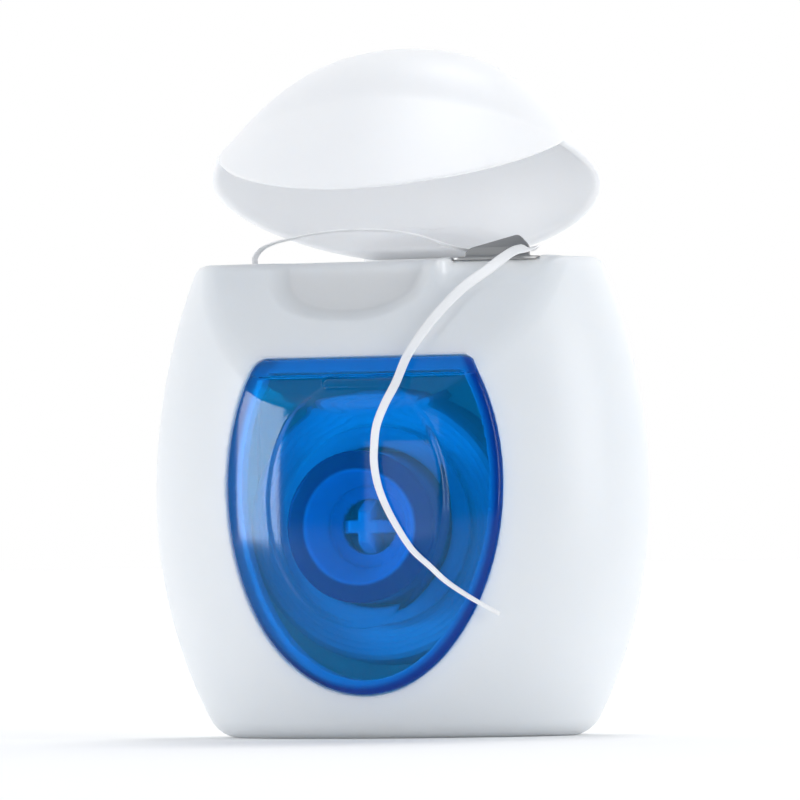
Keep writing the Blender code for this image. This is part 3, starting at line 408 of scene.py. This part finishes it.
def net(name, field, low, high, step):
    """A closed mesh of a field's zero surface, with its points settled on the surface."""
    axes = [np.arange(a - step, b + 2 * step, step) for a, b in zip(low, high)]
    x, y, z = axes[0][:, None, None], axes[1][None, :, None], axes[2][None, None, :]
    value = np.broadcast_to(field(x, y, z), [len(a) for a in axes]).astype(np.float32)
    inside = value < 0
    shape = tuple(n - 1 for n in value.shape)
    corners = [(i, j, k) for i in (0, 1) for j in (0, 1) for k in (0, 1)]

    def shifted(array, i, j, k):
        return array[i : i + shape[0], j : j + shape[1], k : k + shape[2]]

    count = sum(shifted(inside, *c).astype(np.int8) for c in corners)
    active = (count > 0) & (count < 8)
    cells = np.argwhere(active)
    index = np.full(shape, -1, np.int64)
    index[active] = np.arange(len(cells))
    total = np.zeros((len(cells), 3))
    hits = np.zeros(len(cells))
    for a in corners:
        for axis in range(3):
            if a[axis]:
                continue
            b = tuple(1 if m == axis else a[m] for m in range(3))
            va = value[cells[:, 0] + a[0], cells[:, 1] + a[1], cells[:, 2] + a[2]]
            vb = value[cells[:, 0] + b[0], cells[:, 1] + b[1], cells[:, 2] + b[2]]
            crossing = (va < 0) != (vb < 0)
            t = np.where(crossing, va / np.where(crossing, va - vb, 1), 0)
            point = np.array(a, float)[None, :] + t[:, None] * (np.array(b) - np.array(a))[None, :]
            total += point * crossing[:, None]
            hits += crossing
    origin = np.array([a[0] for a in axes])
    points = origin + (cells + total / hits[:, None]) * step
    faces = []
    for axis in range(3):
        one, two = (axis + 1) % 3, (axis + 2) % 3
        low_side = [slice(1, -1)] * 3
        low_side[axis] = slice(0, -1)
        high_side = [slice(1, -1)] * 3
        high_side[axis] = slice(1, None)
        a, b = inside[tuple(low_side)], inside[tuple(high_side)]
        edges = np.argwhere(a != b)
        outward = a[tuple(edges.T)]
        edges = edges + 1
        edges[:, axis] -= 1
        ring = []
        for d1, d2 in ((-1, -1), (0, -1), (0, 0), (-1, 0)):
            cell = edges.copy()
            cell[:, one] += d1
            cell[:, two] += d2
            ring.append(index[tuple(cell.T)])
        quad = np.stack(ring, 1)
        quad[~outward] = quad[~outward][:, ::-1]
        faces.append(quad)
    faces = np.concatenate(faces)

    def gradient(p):
        parts = []
        for axis in range(3):
            ahead, behind = p.copy(), p.copy()
            ahead[:, axis] += NUDGE
            behind[:, axis] -= NUDGE
            parts.append((field(*ahead.T) - field(*behind.T)) / (2 * NUDGE))
        return np.stack(parts, 1)

    start = points.copy()
    for _ in range(SETTLING_ROUNDS):
        g = gradient(points)
        length = np.maximum((g * g).sum(1), 0.05)
        points = points - (field(*points.T) / length)[:, None] * g
        limit = SETTLING_LIMIT * step
        points = start + np.clip(points - start, -limit, limit)
    mesh = bpy.data.meshes.new(name)
    mesh.vertices.add(len(points))
    mesh.vertices.foreach_set("co", (points * MM).astype(np.float32).ravel())
    mesh.loops.add(len(faces) * 4)
    mesh.loops.foreach_set("vertex_index", faces.astype(np.int32).ravel())
    mesh.polygons.add(len(faces))
    mesh.polygons.foreach_set("loop_start", np.arange(0, len(faces) * 4, 4, dtype=np.int32))
    mesh.update(calc_edges=True)
    mesh.validate()
    mesh.polygons.foreach_set("use_smooth", np.ones(len(mesh.polygons), bool))
    normal = gradient(points)
    normal /= np.maximum(np.linalg.norm(normal, axis=1), 1e-9)[:, None]
    mesh.normals_split_custom_set_from_vertices(normal.astype(np.float32).tolist())
    return add_item(name, mesh)


# Materials
def principled(name, **sockets):
    material = bpy.data.materials.new(name)
    material.use_nodes = True
    shader = material.node_tree.nodes["Principled BSDF"]
    for key, value in sockets.items():
        shader.inputs[key.replace("_", " ")].default_value = value
    return material, shader


def add_node(material, kind, **values):
    node = material.node_tree.nodes.new(kind)
    for key, value in values.items():
        if key in node.inputs:
            node.inputs[key].default_value = value
        else:
            setattr(node, key, value)
    return node


def join(material, source, output, target, socket):
    material.node_tree.links.new(source.outputs[output], target.inputs[socket])


def add_noise(material, source, scale, detail, coordinates="Object"):
    noise = add_node(material, "ShaderNodeTexNoise", Scale=scale, Detail=detail)
    join(material, source, coordinates, noise, "Vector")
    return noise


def add_grain(material, coordinates, stretch, detail):
    """Noise drawn out along an axis."""
    place = add_node(material, "ShaderNodeTexCoord")
    mapping = add_node(material, "ShaderNodeMapping")
    mapping.inputs["Scale"].default_value = stretch
    join(material, place, coordinates, mapping, "Vector")
    return add_noise(material, mapping, 1.0, detail, "Vector")


def add_ramp(material, source, output, shader, low, high, low_at=0.0, high_at=1.0):
    """The base colour, from one colour to another as the source rises."""
    ramp = add_node(material, "ShaderNodeValToRGB")
    first, last = ramp.color_ramp.elements
    first.position, last.position = low_at, high_at
    first.color, last.color = (*low, 1), (*high, 1)
    join(material, source, output, ramp, "Fac")
    join(material, ramp, "Color", shader, "Base Color")


def add_roughness(material, source, shader, low, high):
    spread = add_node(material, "ShaderNodeMapRange")
    spread.inputs["To Min"].default_value = low
    spread.inputs["To Max"].default_value = high
    join(material, source, "Fac", spread, "Value")
    join(material, spread, "Result", shader, "Roughness")


def add_bump(material, source, shader, strength, distance):
    bump = add_node(material, "ShaderNodeBump", Strength=strength, Distance=distance)
    join(material, source, "Fac", bump, "Height")
    join(material, bump, "Normal", shader, "Normal")


def add_reach(material, place, scale, offset):
    """Length of the place after it is scaled and moved."""
    shift = add_node(material, "ShaderNodeVectorMath", operation="MULTIPLY_ADD")
    shift.inputs[1].default_value = scale
    shift.inputs[2].default_value = offset
    join(material, place, "Object", shift, "Vector")
    reach = add_node(material, "ShaderNodeVectorMath", operation="LENGTH")
    join(material, shift, "Vector", reach, "Vector")
    return reach


def moulded_white(name, colour, roughness):
    """Satin white plastic: faint mould texture, slight waviness and a trace of colour change."""
    material, shader = principled(
        name,
        Roughness=roughness,
        Subsurface_Weight=1.0,
        Subsurface_Scale=0.0014,
        Subsurface_Radius=(1.0, 1.05, 1.1),
        IOR=1.46,
    )
    place = add_node(material, "ShaderNodeTexCoord")
    broad = add_noise(material, place, 60.0, 3.0)
    fine = add_noise(material, place, 2600.0, 2.0)
    darker = [c * 0.985 for c in colour]
    lighter = [min(c * 1.01, 1) for c in colour]
    add_ramp(material, broad, "Fac", shader, darker, lighter, 0.3, 0.7)
    add_roughness(material, fine, shader, roughness - 0.03, roughness + 0.04)
    add_bump(material, fine, shader, 0.06, 0.00002)
    return material


# The window's rim, in the material's own measure: beyond it the base colour is a painted darker outline,
# painted shade for the dark line at the plate's edge
RIM_X, RIM_Z, RIM_HALF_WIDTH, RIM_HALF_HEIGHT = -0.3, 23.15, 13.3, 18.85


def clear_blue(name):
    """Tinted clear plastic: its tint deepens with the way through it, lamps shine through it, and painted
    shade darkens a thin outline at its edge.
    """
    material, shader = principled(name, Roughness=0.07, Transmission_Weight=0.91, IOR=1.31)
    volume = add_node(material, "ShaderNodeVolumeAbsorption", Color=(0.0, 0.87, 0.98, 1), Density=500.0)
    output = material.node_tree.nodes["Material Output"]
    join(material, volume, "Volume", output, "Volume")
    path = add_node(material, "ShaderNodeLightPath")
    clear = add_node(material, "ShaderNodeBsdfTransparent", Color=(0.5, 0.85, 1.0, 1))
    mix = add_node(material, "ShaderNodeMixShader")
    join(material, path, "Is Shadow Ray", mix, "Fac")
    join(material, shader, "BSDF", mix, 1)
    join(material, clear, "BSDF", mix, 2)
    join(material, mix, "Shader", output, "Surface")
    place = add_node(material, "ShaderNodeTexCoord")
    add_bump(material, add_noise(material, place, 90.0, 1.0), shader, 0.12, 0.0002)
    scale = (1 / (RIM_HALF_WIDTH * MM), 0.0, 1 / (RIM_HALF_HEIGHT * MM))
    offset = (-RIM_X / RIM_HALF_WIDTH, 0.0, -RIM_Z / RIM_HALF_HEIGHT)
    reach = add_reach(material, place, scale, offset)
    # Painted shade: the base colour turns deeper blue in a thin band at the window's edge
    add_ramp(material, reach, "Value", shader, (0.002, 0.47, 0.92), (0.002, 0.13, 0.5), 0.955, 0.985)
    return material


def hub_blue_painted_light_and_shade(name):
    """The hub tube's blue, with light and shade painted into it: painted light makes the mouth bright, and
    painted shade makes the wall deep blue where it is seen along its length.
    """
    material, shader = principled(name, Specular_IOR_Level=0.2, Transmission_Weight=0.2, IOR=1.46)
    place = add_node(material, "ShaderNodeTexCoord")
    add_roughness(material, add_noise(material, place, 300.0, 2.0), shader, 0.12, 0.22)
    radius = add_reach(material, place, (1.0, 0.0, 1.0), (0.0, 0.0, -HUB_Z * MM))
    share = add_node(material, "ShaderNodeMapRange")
    share.inputs["From Min"].default_value = (MOUTH_RADIUS - 0.3) * MM
    share.inputs["From Max"].default_value = MOUTH_RADIUS * MM
    join(material, radius, "Value", share, "Value")
    # Painted light inside the mouth, painted shade in the wall beyond it
    add_ramp(material, share, "Result", shader, (0.05, 0.75, 1.0), (0.006, 0.006, 0.2))
    return material


def steel(name):
    """Stamped steel with the grain of the rolled sheet."""
    material, shader = principled(name, Metallic=1.0)
    grain = add_grain(material, "Object", (60.0, 2200.0, 2200.0), 3.0)
    add_ramp(material, grain, "Fac", shader, (0.30, 0.30, 0.30), (0.42, 0.42, 0.42))
    add_roughness(material, grain, shader, 0.3, 0.5)
    add_bump(material, grain, shader, 0.15, 0.00003)
    return material


def waxed_floss(name, coordinates, stretch):
    """Waxed tape: fine filaments along its length, soft sheen."""
    material, shader = principled(
        name,
        Roughness=0.55,
        Subsurface_Weight=0.3,
        Subsurface_Scale=0.0004,
        Subsurface_Radius=(1.0, 1.0, 1.0),
        Sheen_Weight=0.2,
    )
    grain = add_grain(material, coordinates, stretch, 2.0)
    add_ramp(material, grain, "Fac", shader, (0.92, 0.925, 0.935), (0.985, 0.985, 0.99))
    add_bump(material, grain, shader, 0.3, 0.00003)
    return material


WHITE = moulded_white("case_plastic", (0.82, 0.845, 0.87), 0.32)
WHITE_REAR = moulded_white("cover_plastic", (0.82, 0.845, 0.87), 0.32)
WHITE_LID = moulded_white("lid_plastic", (0.86, 0.865, 0.88), 0.42)
WHITE_CORE = moulded_white("core_plastic", (0.74, 0.75, 0.77), 0.45)
BLUE = clear_blue("clear_blue_plastic")
# The hub's material has painted light in its mouth and painted shade in its wall
HUB_BLUE_PAINTED_LIGHT_AND_SHADE = hub_blue_painted_light_and_shade("hub_plastic_painted_light_and_shade")
STEEL = steel("stamped_steel")
TAPE = waxed_floss("waxed_tape", "UV", (30.0, 6.0, 1.0))
WOUND = waxed_floss("wound_floss", "Object", (900.0, 900.0, 900.0))


def dress(item, material, record_slot, rides, *nodes):
    """Gives a piece its material, hides the imported nodes it stands for, and hangs it on the body it rides
    on; the slot it is handed is not used.
    """
    item.data.materials.clear()
    item.data.materials.append(material)
    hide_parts(*nodes)
    if rides:
        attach(item, rides)


# Floss: its routes in millimetres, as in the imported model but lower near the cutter
ARCH_ROUTE = [
    (-13.6, -1.5, 45.1), (-12.9, -1.6, 45.9), (-11.6, -1.8, 46.4), (-9.6, -2.1, 46.8), (-7.4, -2.35, 47.15),
    (-4.9, -2.55, 47.35), (-2.2, -2.8, 47.35), (0.6, -3.05, 47.15), (3.3, -3.35, 46.6), (5.9, -3.6, 45.75),
    (8.2, -3.75, 45.15), (10.7, -3.85, 45.0), (13.3, -3.95, 45.05),
]
TAIL_ROUTE = [
    (14.2, -4.0, 45.1), (14.85, -4.35, 45.15), (15.0, -5.0, 45.1), (14.7, -5.8, 45.05),
    (14.15, -6.5, 45.05), (13.4, -7.05, 44.8), (12.33, -7.2, 44.1), (11.06, -7.2, 43.21),
    (8.73, -7.5, 41.6), (6.83, -8.95, 39.39), (5.42, -10.4, 37.17), (4.46, -11.75, 35.14),
    (3.86, -13.3, 32.73), (3.18, -14.55, 30.8), (2.68, -15.5, 28.87), (2.51, -15.8, 26.95),
    (2.52, -15.9, 25.21), (2.88, -15.9, 23.28), (3.61, -15.85, 21.35), (4.68, -15.7, 19.32),
    (5.91, -15.4, 17.38), (7.39, -14.95, 15.9), (8.79, -14.1, 14.41), (10.81, -13.2, 12.91),
    (13.11, -12.0, 11.41),
]
FEED_ROUTE = [(-13.0, -2.65, 19.6), (-13.0, -2.65, 31.8), (-13.6, -1.5, 41.2), (-13.6, -1.5, 44.4)]


def smooth_route(route, count):
    """Points at even steps along a smooth curve through the chosen ones."""
    p = np.array(route, float)
    ends = np.vstack([2 * p[0] - p[1], p, 2 * p[-1] - p[-2]])
    fine = []
    for i in range(1, len(ends) - 2):
        a, b, c, d = ends[i - 1 : i + 3]
        t = np.linspace(0, 1, 40, endpoint=False)[:, None]
        square, cube = 2 * a - 5 * b + 4 * c - d, 3 * b - a - 3 * c + d
        fine.append((2 * b + (c - a) * t + square * t**2 + cube * t**3) / 2)
    fine = np.vstack(fine + [p[-1:]])
    travelled = np.concatenate([[0], np.cumsum(np.linalg.norm(np.diff(fine, axis=0), axis=1))])
    even = np.linspace(0, travelled[-1], count)
    return np.stack([np.interp(even, travelled, fine[:, k]) for k in range(3)], 1), travelled[-1]


def unit(v):
    return v / np.linalg.norm(v, axis=1)[:, None]


# Where the tape's width points, and how wide it is, at chosen points of its route
TAPE_TURNS = [
    ((-13.0, -2.65, 19.6), (0.0, 1.0, 0.0), 1.05),
    ((-13.6, -1.5, 41.2), (0.0, 1.0, 0.1), 1.0),
    ((-12.9, -1.6, 45.9), (0.3, 1.0, -0.05), 0.95),
    ((-7.4, -2.35, 47.15), (0.0, 1.0, -0.12), 0.95),
    ((0.6, -3.05, 47.15), (0.0, 1.0, -0.22), 1.0),
    ((8.2, -3.75, 45.15), (0.0, 1.0, -0.32), 1.0),
    ((13.3, -3.95, 45.05), (0.0, 1.0, 0.3), 0.8),
    ((15.0, -5.0, 45.1), (0.8, 0.0, 0.6), 0.8),
    ((14.15, -6.5, 45.05), (0.3, -0.5, -0.8), 0.95),
    ((11.06, -7.2, 43.21), (0.7, 0.2, -0.6), 1.0),
    ((5.42, -10.4, 37.17), (0.8, 0.1, -0.4), 0.85),
    ((3.18, -14.55, 30.8), (0.7, 0.5, -0.2), 0.78),
    ((2.52, -15.9, 25.21), (0.7, 0.55, 0.0), 0.75),
    ((5.91, -15.4, 17.38), (0.6, 0.6, 0.3), 0.62),
    ((13.11, -12.0, 11.41), (0.3, 0.8, 0.4), 0.5),
]
TAPE_HALF_THICKNESS = 0.07
TAPE_STATIONS, TAPE_POINTS_ACROSS = 320, 7


def tape(name, route, count):
    """A flat ribbon of waxed floss along a route."""
    line, length = smooth_route(route, count)
    share = np.linspace(0, 1, count)
    ahead = unit(np.gradient(line, axis=0))
    nearest = [np.argmin(np.linalg.norm(line - np.array(place), axis=1)) for place, _, _ in TAPE_TURNS]
    stations = share[nearest]
    hints = unit(np.array([hint for _, hint, _ in TAPE_TURNS]))
    widths = [width for _, _, width in TAPE_TURNS]
    across = np.stack([np.interp(share, stations, hints[:, k]) for k in range(3)], 1)
    across = unit(across - ahead * (across * ahead).sum(1)[:, None])
    outward = np.cross(across, ahead)
    half_width = np.interp(share, stations, widths)[:, None] / 2
    places = np.linspace(-1, 1, TAPE_POINTS_ACROSS)
    thick = TAPE_HALF_THICKNESS * (1 - 0.6 * np.abs(places) ** 3)
    profile = list(zip(places, thick)) + list(zip(places[::-1], -thick[::-1]))
    n = len(profile)
    rings = [line + across * half_width * s + outward * h for s, h in profile]
    points = np.stack(rings, 1).reshape(-1, 3)
    builder = bmesh.new()
    verts = [builder.verts.new(p * MM) for p in points]
    uv = builder.loops.layers.uv.new("UVMap")
    for i in range(count - 1):
        for k in range(n):
            m = (k + 1) % n
            corners = ((i, k), (i, k + 1), (i + 1, k + 1), (i + 1, k))
            strip = (verts[i * n + k], verts[i * n + m], verts[(i + 1) * n + m], verts[(i + 1) * n + k])
            made = builder.faces.new(strip)
            made.smooth = True
            for loop, (along, around) in zip(made.loops, corners):
                loop[uv].uv = (around / n, along / count * length / 3)
    builder.faces.new(verts[:n][::-1])
    builder.faces.new(verts[-n:])
    bmesh.ops.recalc_face_normals(builder, faces=builder.faces)
    return add_built(name, builder), line, length


def add_floss():
    """One strand, from the winding through the exit hole and the cutter to its cut end."""
    strand, line, length = tape("floss_strand", FEED_ROUTE + ARCH_ROUTE + TAIL_ROUTE, TAPE_STATIONS)
    dress(strand, TAPE, "floss_white", "case", "floss_feed", "floss_arch", "floss_tail")


add_floss()


def add_net(name, field, low, high, steps, material, record_slot, rides, node, turn=None):
    """One piece from its field."""
    fine, coarse = steps
    item = net(name, field, low, high, fine)
    if turn:
        item.data.transform(turn)
    dress(item, material, record_slot, rides, node)


def opened_lid():
    """The turn about the hinge that opens the lid as the photograph shows it."""
    hinge = Vector((0, HINGE_Y, HINGE_Z)) * MM
    return Matrix.Translation(hinge) @ Matrix.Rotation(-OPEN_ANGLE, 4, "X") @ Matrix.Translation(-hinge)


add_net(
    "case_front", front_field, (-24.2, -14.8, -0.2), (24.2, 12.2, 44.6), (0.23, 0.5),
    WHITE, "case_white", "case", "front_case",
)
add_net(
    "case_back", rear_field, (-24.0, -11.3, -0.2), (24.0, 14.8, 42.4), (0.23, 0.5),
    WHITE_REAR, "cover_white", "case", "rear_cover",
)
add_net(
    "blue_window", window_field, (-13.6, -15.1, 3.8), (13.6, 4.9, 35.5), (0.2, 0.4),
    BLUE, "window_blue", "case", "window_insert",
)
add_net(
    "hub_tube", hub_field, (-7.2, -14.0, 12.4), (7.2, 4.9, 26.8), (0.3, 0.45),
    HUB_BLUE_PAINTED_LIGHT_AND_SHADE, "window_blue", "case", "window_insert",
)
add_net(
    "lid_shell", lid_field, (-24.0, -15.2, 28.0), (24.0, 12.4, 57.2), (0.2, 0.45),
    WHITE_LID, "lid_white", "lid", "flip_lid", opened_lid(),
)


# Living hinge
WEB_FOOT, WEB_TOP = DECK - 0.8, LID_NOTCH - 0.8
WEB_TUCK, WEB_STEPS = 0.26, 15
WEB_HALF_THICKNESS, WEB_EXTRA, WEB_EXTRA_REACH = 0.12, 0.08, 0.8
WEB_END_INSET, WEB_END_SHARE, WEB_SHARP_ANGLE = 0.15, 0.6, math.radians(50)


def web_line():
    """The web's middle line, seen from the side: up the case, round the bend and up the lid."""
    points = []
    below = HINGE_Z - HINGE_BEND
    for i in range(WEB_STEPS):
        points.append((HINGE_Y, WEB_FOOT + (below - WEB_FOOT) * i / WEB_STEPS))
    for t in np.linspace(0, 1, 13):
        after = t * t * HINGE_BEND
        y = HINGE_Y + after * math.sin(OPEN_ANGLE)
        points.append((y, HINGE_Z - HINGE_BEND * (1 - t) ** 2 + after * math.cos(OPEN_ANGLE)))
    for i in range(1, WEB_STEPS + 1):
        reach = HINGE_BEND + (WEB_TOP - HINGE_BEND) * i / WEB_STEPS
        tuck = WEB_TUCK * (i / WEB_STEPS) ** 1.5
        y = HINGE_Y + reach * math.sin(OPEN_ANGLE) - tuck * math.cos(OPEN_ANGLE)
        points.append((y, HINGE_Z + reach * math.cos(OPEN_ANGLE) + tuck * math.sin(OPEN_ANGLE)))
    return np.array(points)


def add_hinge():
    """The web between case and lid: thinnest at the bend, built already bent to the open lid."""
    line = web_line()
    ahead = unit(np.gradient(line, axis=0))
    side = np.stack([ahead[:, 1], -ahead[:, 0]], 1)
    distance = np.linalg.norm(line - np.array([HINGE_Y, HINGE_Z]), axis=1)
    thick = WEB_HALF_THICKNESS + WEB_EXTRA * np.clip(distance / WEB_EXTRA_REACH, 0, 1) ** 2
    inner_end = HINGE_HALF_WIDTH - WEB_END_INSET
    stations = (-HINGE_HALF_WIDTH, -inner_end, -HINGE_HALF_WIDTH / 2, 0)
    builder = bmesh.new()
    rows = []
    for x in stations + tuple(-x for x in stations[2::-1]):
        pull = WEB_END_SHARE if abs(x) == HINGE_HALF_WIDTH else 1.0
        offset = side * (thick * pull)[:, None]
        loop = np.vstack([line + offset, (line - offset)[::-1]])
        rows.append([builder.verts.new((x * MM, y * MM, z * MM)) for y, z in loop])
    for a, b in zip(rows, rows[1:]):
        for k in range(len(a)):
            m = (k + 1) % len(a)
            builder.faces.new((a[k], a[m], b[m], b[k])).smooth = True
    builder.faces.new(rows[0])
    builder.faces.new(rows[-1][::-1])
    bmesh.ops.recalc_face_normals(builder, faces=builder.faces)
    item = add_built("hinge_web", builder)
    item.data.set_sharp_from_angle(angle=WEB_SHARP_ANGLE)
    dress(item, WHITE_LID, "hinge_white", None, "living_hinge")
    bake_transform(item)


add_hinge()


# Cutter and spool core
add_net(
    "steel_cutter", cutter_field, (6.5, -6.4, 42.7), (15.4, -0.6, 46.6), (0.1, 0.16),
    STEEL, "cutter_steel", "case", "floss_cutter",
)
add_net(
    "bobbin_core", core_field, (-9.3, -8.1, 10.3), (9.3, 2.8, 28.9), (0.25, 0.4),
    WHITE_CORE, "core_white", "spool", "spool_core",
)


# Floss winding
WINDING_INSIDE, WINDING_OUTSIDE, WINDING_FRONT, WINDING_REAR = 8.4, 12.7, -6.95, 1.65
WINDING_CORNER, WINDING_CROWN, WINDING_DISH = 0.7, 0.3, 0.25
TURN_PITCH, TURN_RISE, TURN_WAVER, TURN_SINK, TURN_FADE = 0.55, 0.11, 0.05, 0.09, 0.4
WINDING_STEPS_AROUND = 320


def winding_section():
    """The winding's outline as (radius, y): out along the front, over the crown and in along the back."""
    inside, outside, corner, crown = WINDING_INSIDE, WINDING_OUTSIDE, WINDING_CORNER, WINDING_CROWN
    front, rear = WINDING_FRONT, WINDING_REAR
    section = [(inside, front + WINDING_DISH)]
    for t in np.linspace(0.02, 1, 60):
        section.append((inside + (outside - crown - corner - inside) * t, front + WINDING_DISH * (1 - t)))
    for t in np.linspace(0.1, 1, 10):
        a = t * math.pi / 2
        section.append((outside - crown - corner * (1 - math.sin(a)), front + corner * (1 - math.cos(a))))
    for t in np.linspace(0.01, 0.99, 120):
        section.append((outside - crown * (2 * t - 1) ** 2, front + corner + (rear - front - 2 * corner) * t))
    section += [(r, front + rear - y) for r, y in section[70::-1]]
    return np.array(section)


def add_winding():
    """Turns of tape laid side by side, spiralling up one end, along and down the other."""
    line = winding_section()
    ahead = unit(np.gradient(line, axis=0))
    outward = np.stack([-ahead[:, 1], ahead[:, 0]], 1)
    travelled = np.concatenate([[0], np.cumsum(np.linalg.norm(np.diff(line, axis=0), axis=1))])
    around = np.linspace(0, 2 * math.pi, WINDING_STEPS_AROUND, endpoint=False)
    turn = travelled[:, None] / TURN_PITCH + around[None, :] / (2 * math.pi)
    number, place = np.floor(turn), turn % 1
    waver = 0.35 * np.sin(number * 2.4 + 3 * np.sin(around[None, :] + number))
    waver = waver + 0.2 * np.sin(5 * around[None, :] + number)
    rise = np.sqrt(np.clip(1 - (2 * place - 1) ** 2, 0, 1))
    height = TURN_RISE * rise + TURN_WAVER * waver - TURN_SINK
    fade = np.clip(np.minimum(travelled, travelled[-1] - travelled) / TURN_FADE, 0, 1)[:, None]
    r = line[:, :1] + outward[:, :1] * height * fade
    y = line[:, 1:] + outward[:, 1:] * height * fade
    rows, columns = r.shape
    points = np.stack([r * np.cos(around), y, HUB_Z + r * np.sin(around)], 2).reshape(-1, 3)
    index = np.arange(rows * columns).reshape(rows, columns)
    closed = np.vstack([index, index[:1]])
    a, b = closed[:-1], np.roll(closed, -1, axis=1)[:-1]
    d, c = closed[1:], np.roll(closed, -1, axis=1)[1:]
    faces = np.stack([a, b, c, d], 2).reshape(-1, 4)
    mesh = bpy.data.meshes.new("wound_floss")
    mesh.from_pydata((points * MM).tolist(), [], faces.tolist())
    mesh.update()
    builder = bmesh.new()
    builder.from_mesh(mesh)
    bmesh.ops.recalc_face_normals(builder, faces=builder.faces)
    builder.to_mesh(mesh)
    builder.free()
    mesh.shade_smooth()
    item = add_item("wound_floss", mesh)
    dress(item, WOUND, "floss_white", "spool", "floss_winding")


add_winding()


# Studio
FLOOR_HALF_SIZE = 60
GLOW_NEAR_Y, GLOW_FAR_Y, GLOW_NEAR, GLOW_FAR = 0.02, 0.8, 0.04, 0.4


def add_floor():
    """White paper that glows a little far behind the part, so that no horizon shows."""
    builder = bmesh.new()
    bmesh.ops.create_grid(builder, x_segments=1, y_segments=1, size=FLOOR_HALF_SIZE)
    item = add_built("floor", builder)
    material, shader = principled(
        "floor_paper",
        Base_Color=(0.93, 0.93, 0.93, 1),
        Roughness=0.9,
        Emission_Color=(1, 1, 1, 1),
    )
    place = add_node(material, "ShaderNodeTexCoord")
    split = add_node(material, "ShaderNodeSeparateXYZ")
    join(material, place, "Object", split, "Vector")
    glow = add_node(material, "ShaderNodeMapRange", interpolation_type="SMOOTHSTEP")
    glow.inputs["From Min"].default_value = GLOW_NEAR_Y
    glow.inputs["From Max"].default_value = GLOW_FAR_Y
    glow.inputs["To Min"].default_value = GLOW_NEAR
    glow.inputs["To Max"].default_value = GLOW_FAR
    join(material, split, "Y", glow, "Value")
    join(material, glow, "Result", shader, "Emission Strength")
    item.data.materials.append(material)


# How bright the surround is, from behind the camera (0) to behind the part (1)
SURROUND = (
    (0.0, (0.06, 0.09, 0.13)),
    (0.12, (0.10, 0.14, 0.19)),
    (0.42, (0.78, 0.80, 0.83)),
    (0.6, (0.9, 0.905, 0.915)),
    (0.9, (1.0, 1.0, 1.0)),
)


def add_world():
    """A white surround that is brightest behind the part and darkest behind the camera."""
    world = bpy.data.worlds.new("studio")
    bpy.context.scene.world = world
    world.use_nodes = True
    place = add_node(world, "ShaderNodeTexCoord")
    split = add_node(world, "ShaderNodeSeparateXYZ")
    spread = add_node(world, "ShaderNodeMapRange")
    spread.inputs["From Min"].default_value = -1
    ramp = add_node(world, "ShaderNodeValToRGB")
    for _ in SURROUND[2:]:
        ramp.color_ramp.elements.new(0.5)
    for element, (position, colour) in zip(ramp.color_ramp.elements, SURROUND):
        element.position = position
        element.color = (*colour, 1)
    join(world, place, "Generated", split, "Vector")
    join(world, split, "Y", spread, "Value")
    join(world, spread, "Result", ramp, "Fac")
    join(world, ramp, "Color", world.node_tree.nodes["Background"], "Color")


def add_light(name, place, target, size, power):
    """A rectangular lamp that faces a target, in metres and watts."""
    data = bpy.data.lights.new(name, "AREA")
    data.shape = "RECTANGLE"
    data.size, data.size_y = size
    data.energy = power
    item = add_item(name, data)
    item.location = place
    item.rotation_euler = (Vector(target) - Vector(place)).to_track_quat("-Z", "Y").to_euler()


add_floor()
add_world()
add_light("key", (0.03, 0.22, 0.77), (0, 0, 0.03), (0.26, 0.26), 1.5)
add_light("right_box", (0.58, -0.2, 0.13), (0, 0, 0.03), (0.25, 0.4), 1.35)
add_light("left_box", (-0.48, -0.34, 0.07), (0, 0, 0.025), (0.18, 0.18), 1.1)
add_light("front_box", (0.01, -0.76, 0.045), (0, 0, 0.02), (0.32, 0.28), 0.5)

scene = bpy.context.scene
scene.view_settings.view_transform = "Standard"
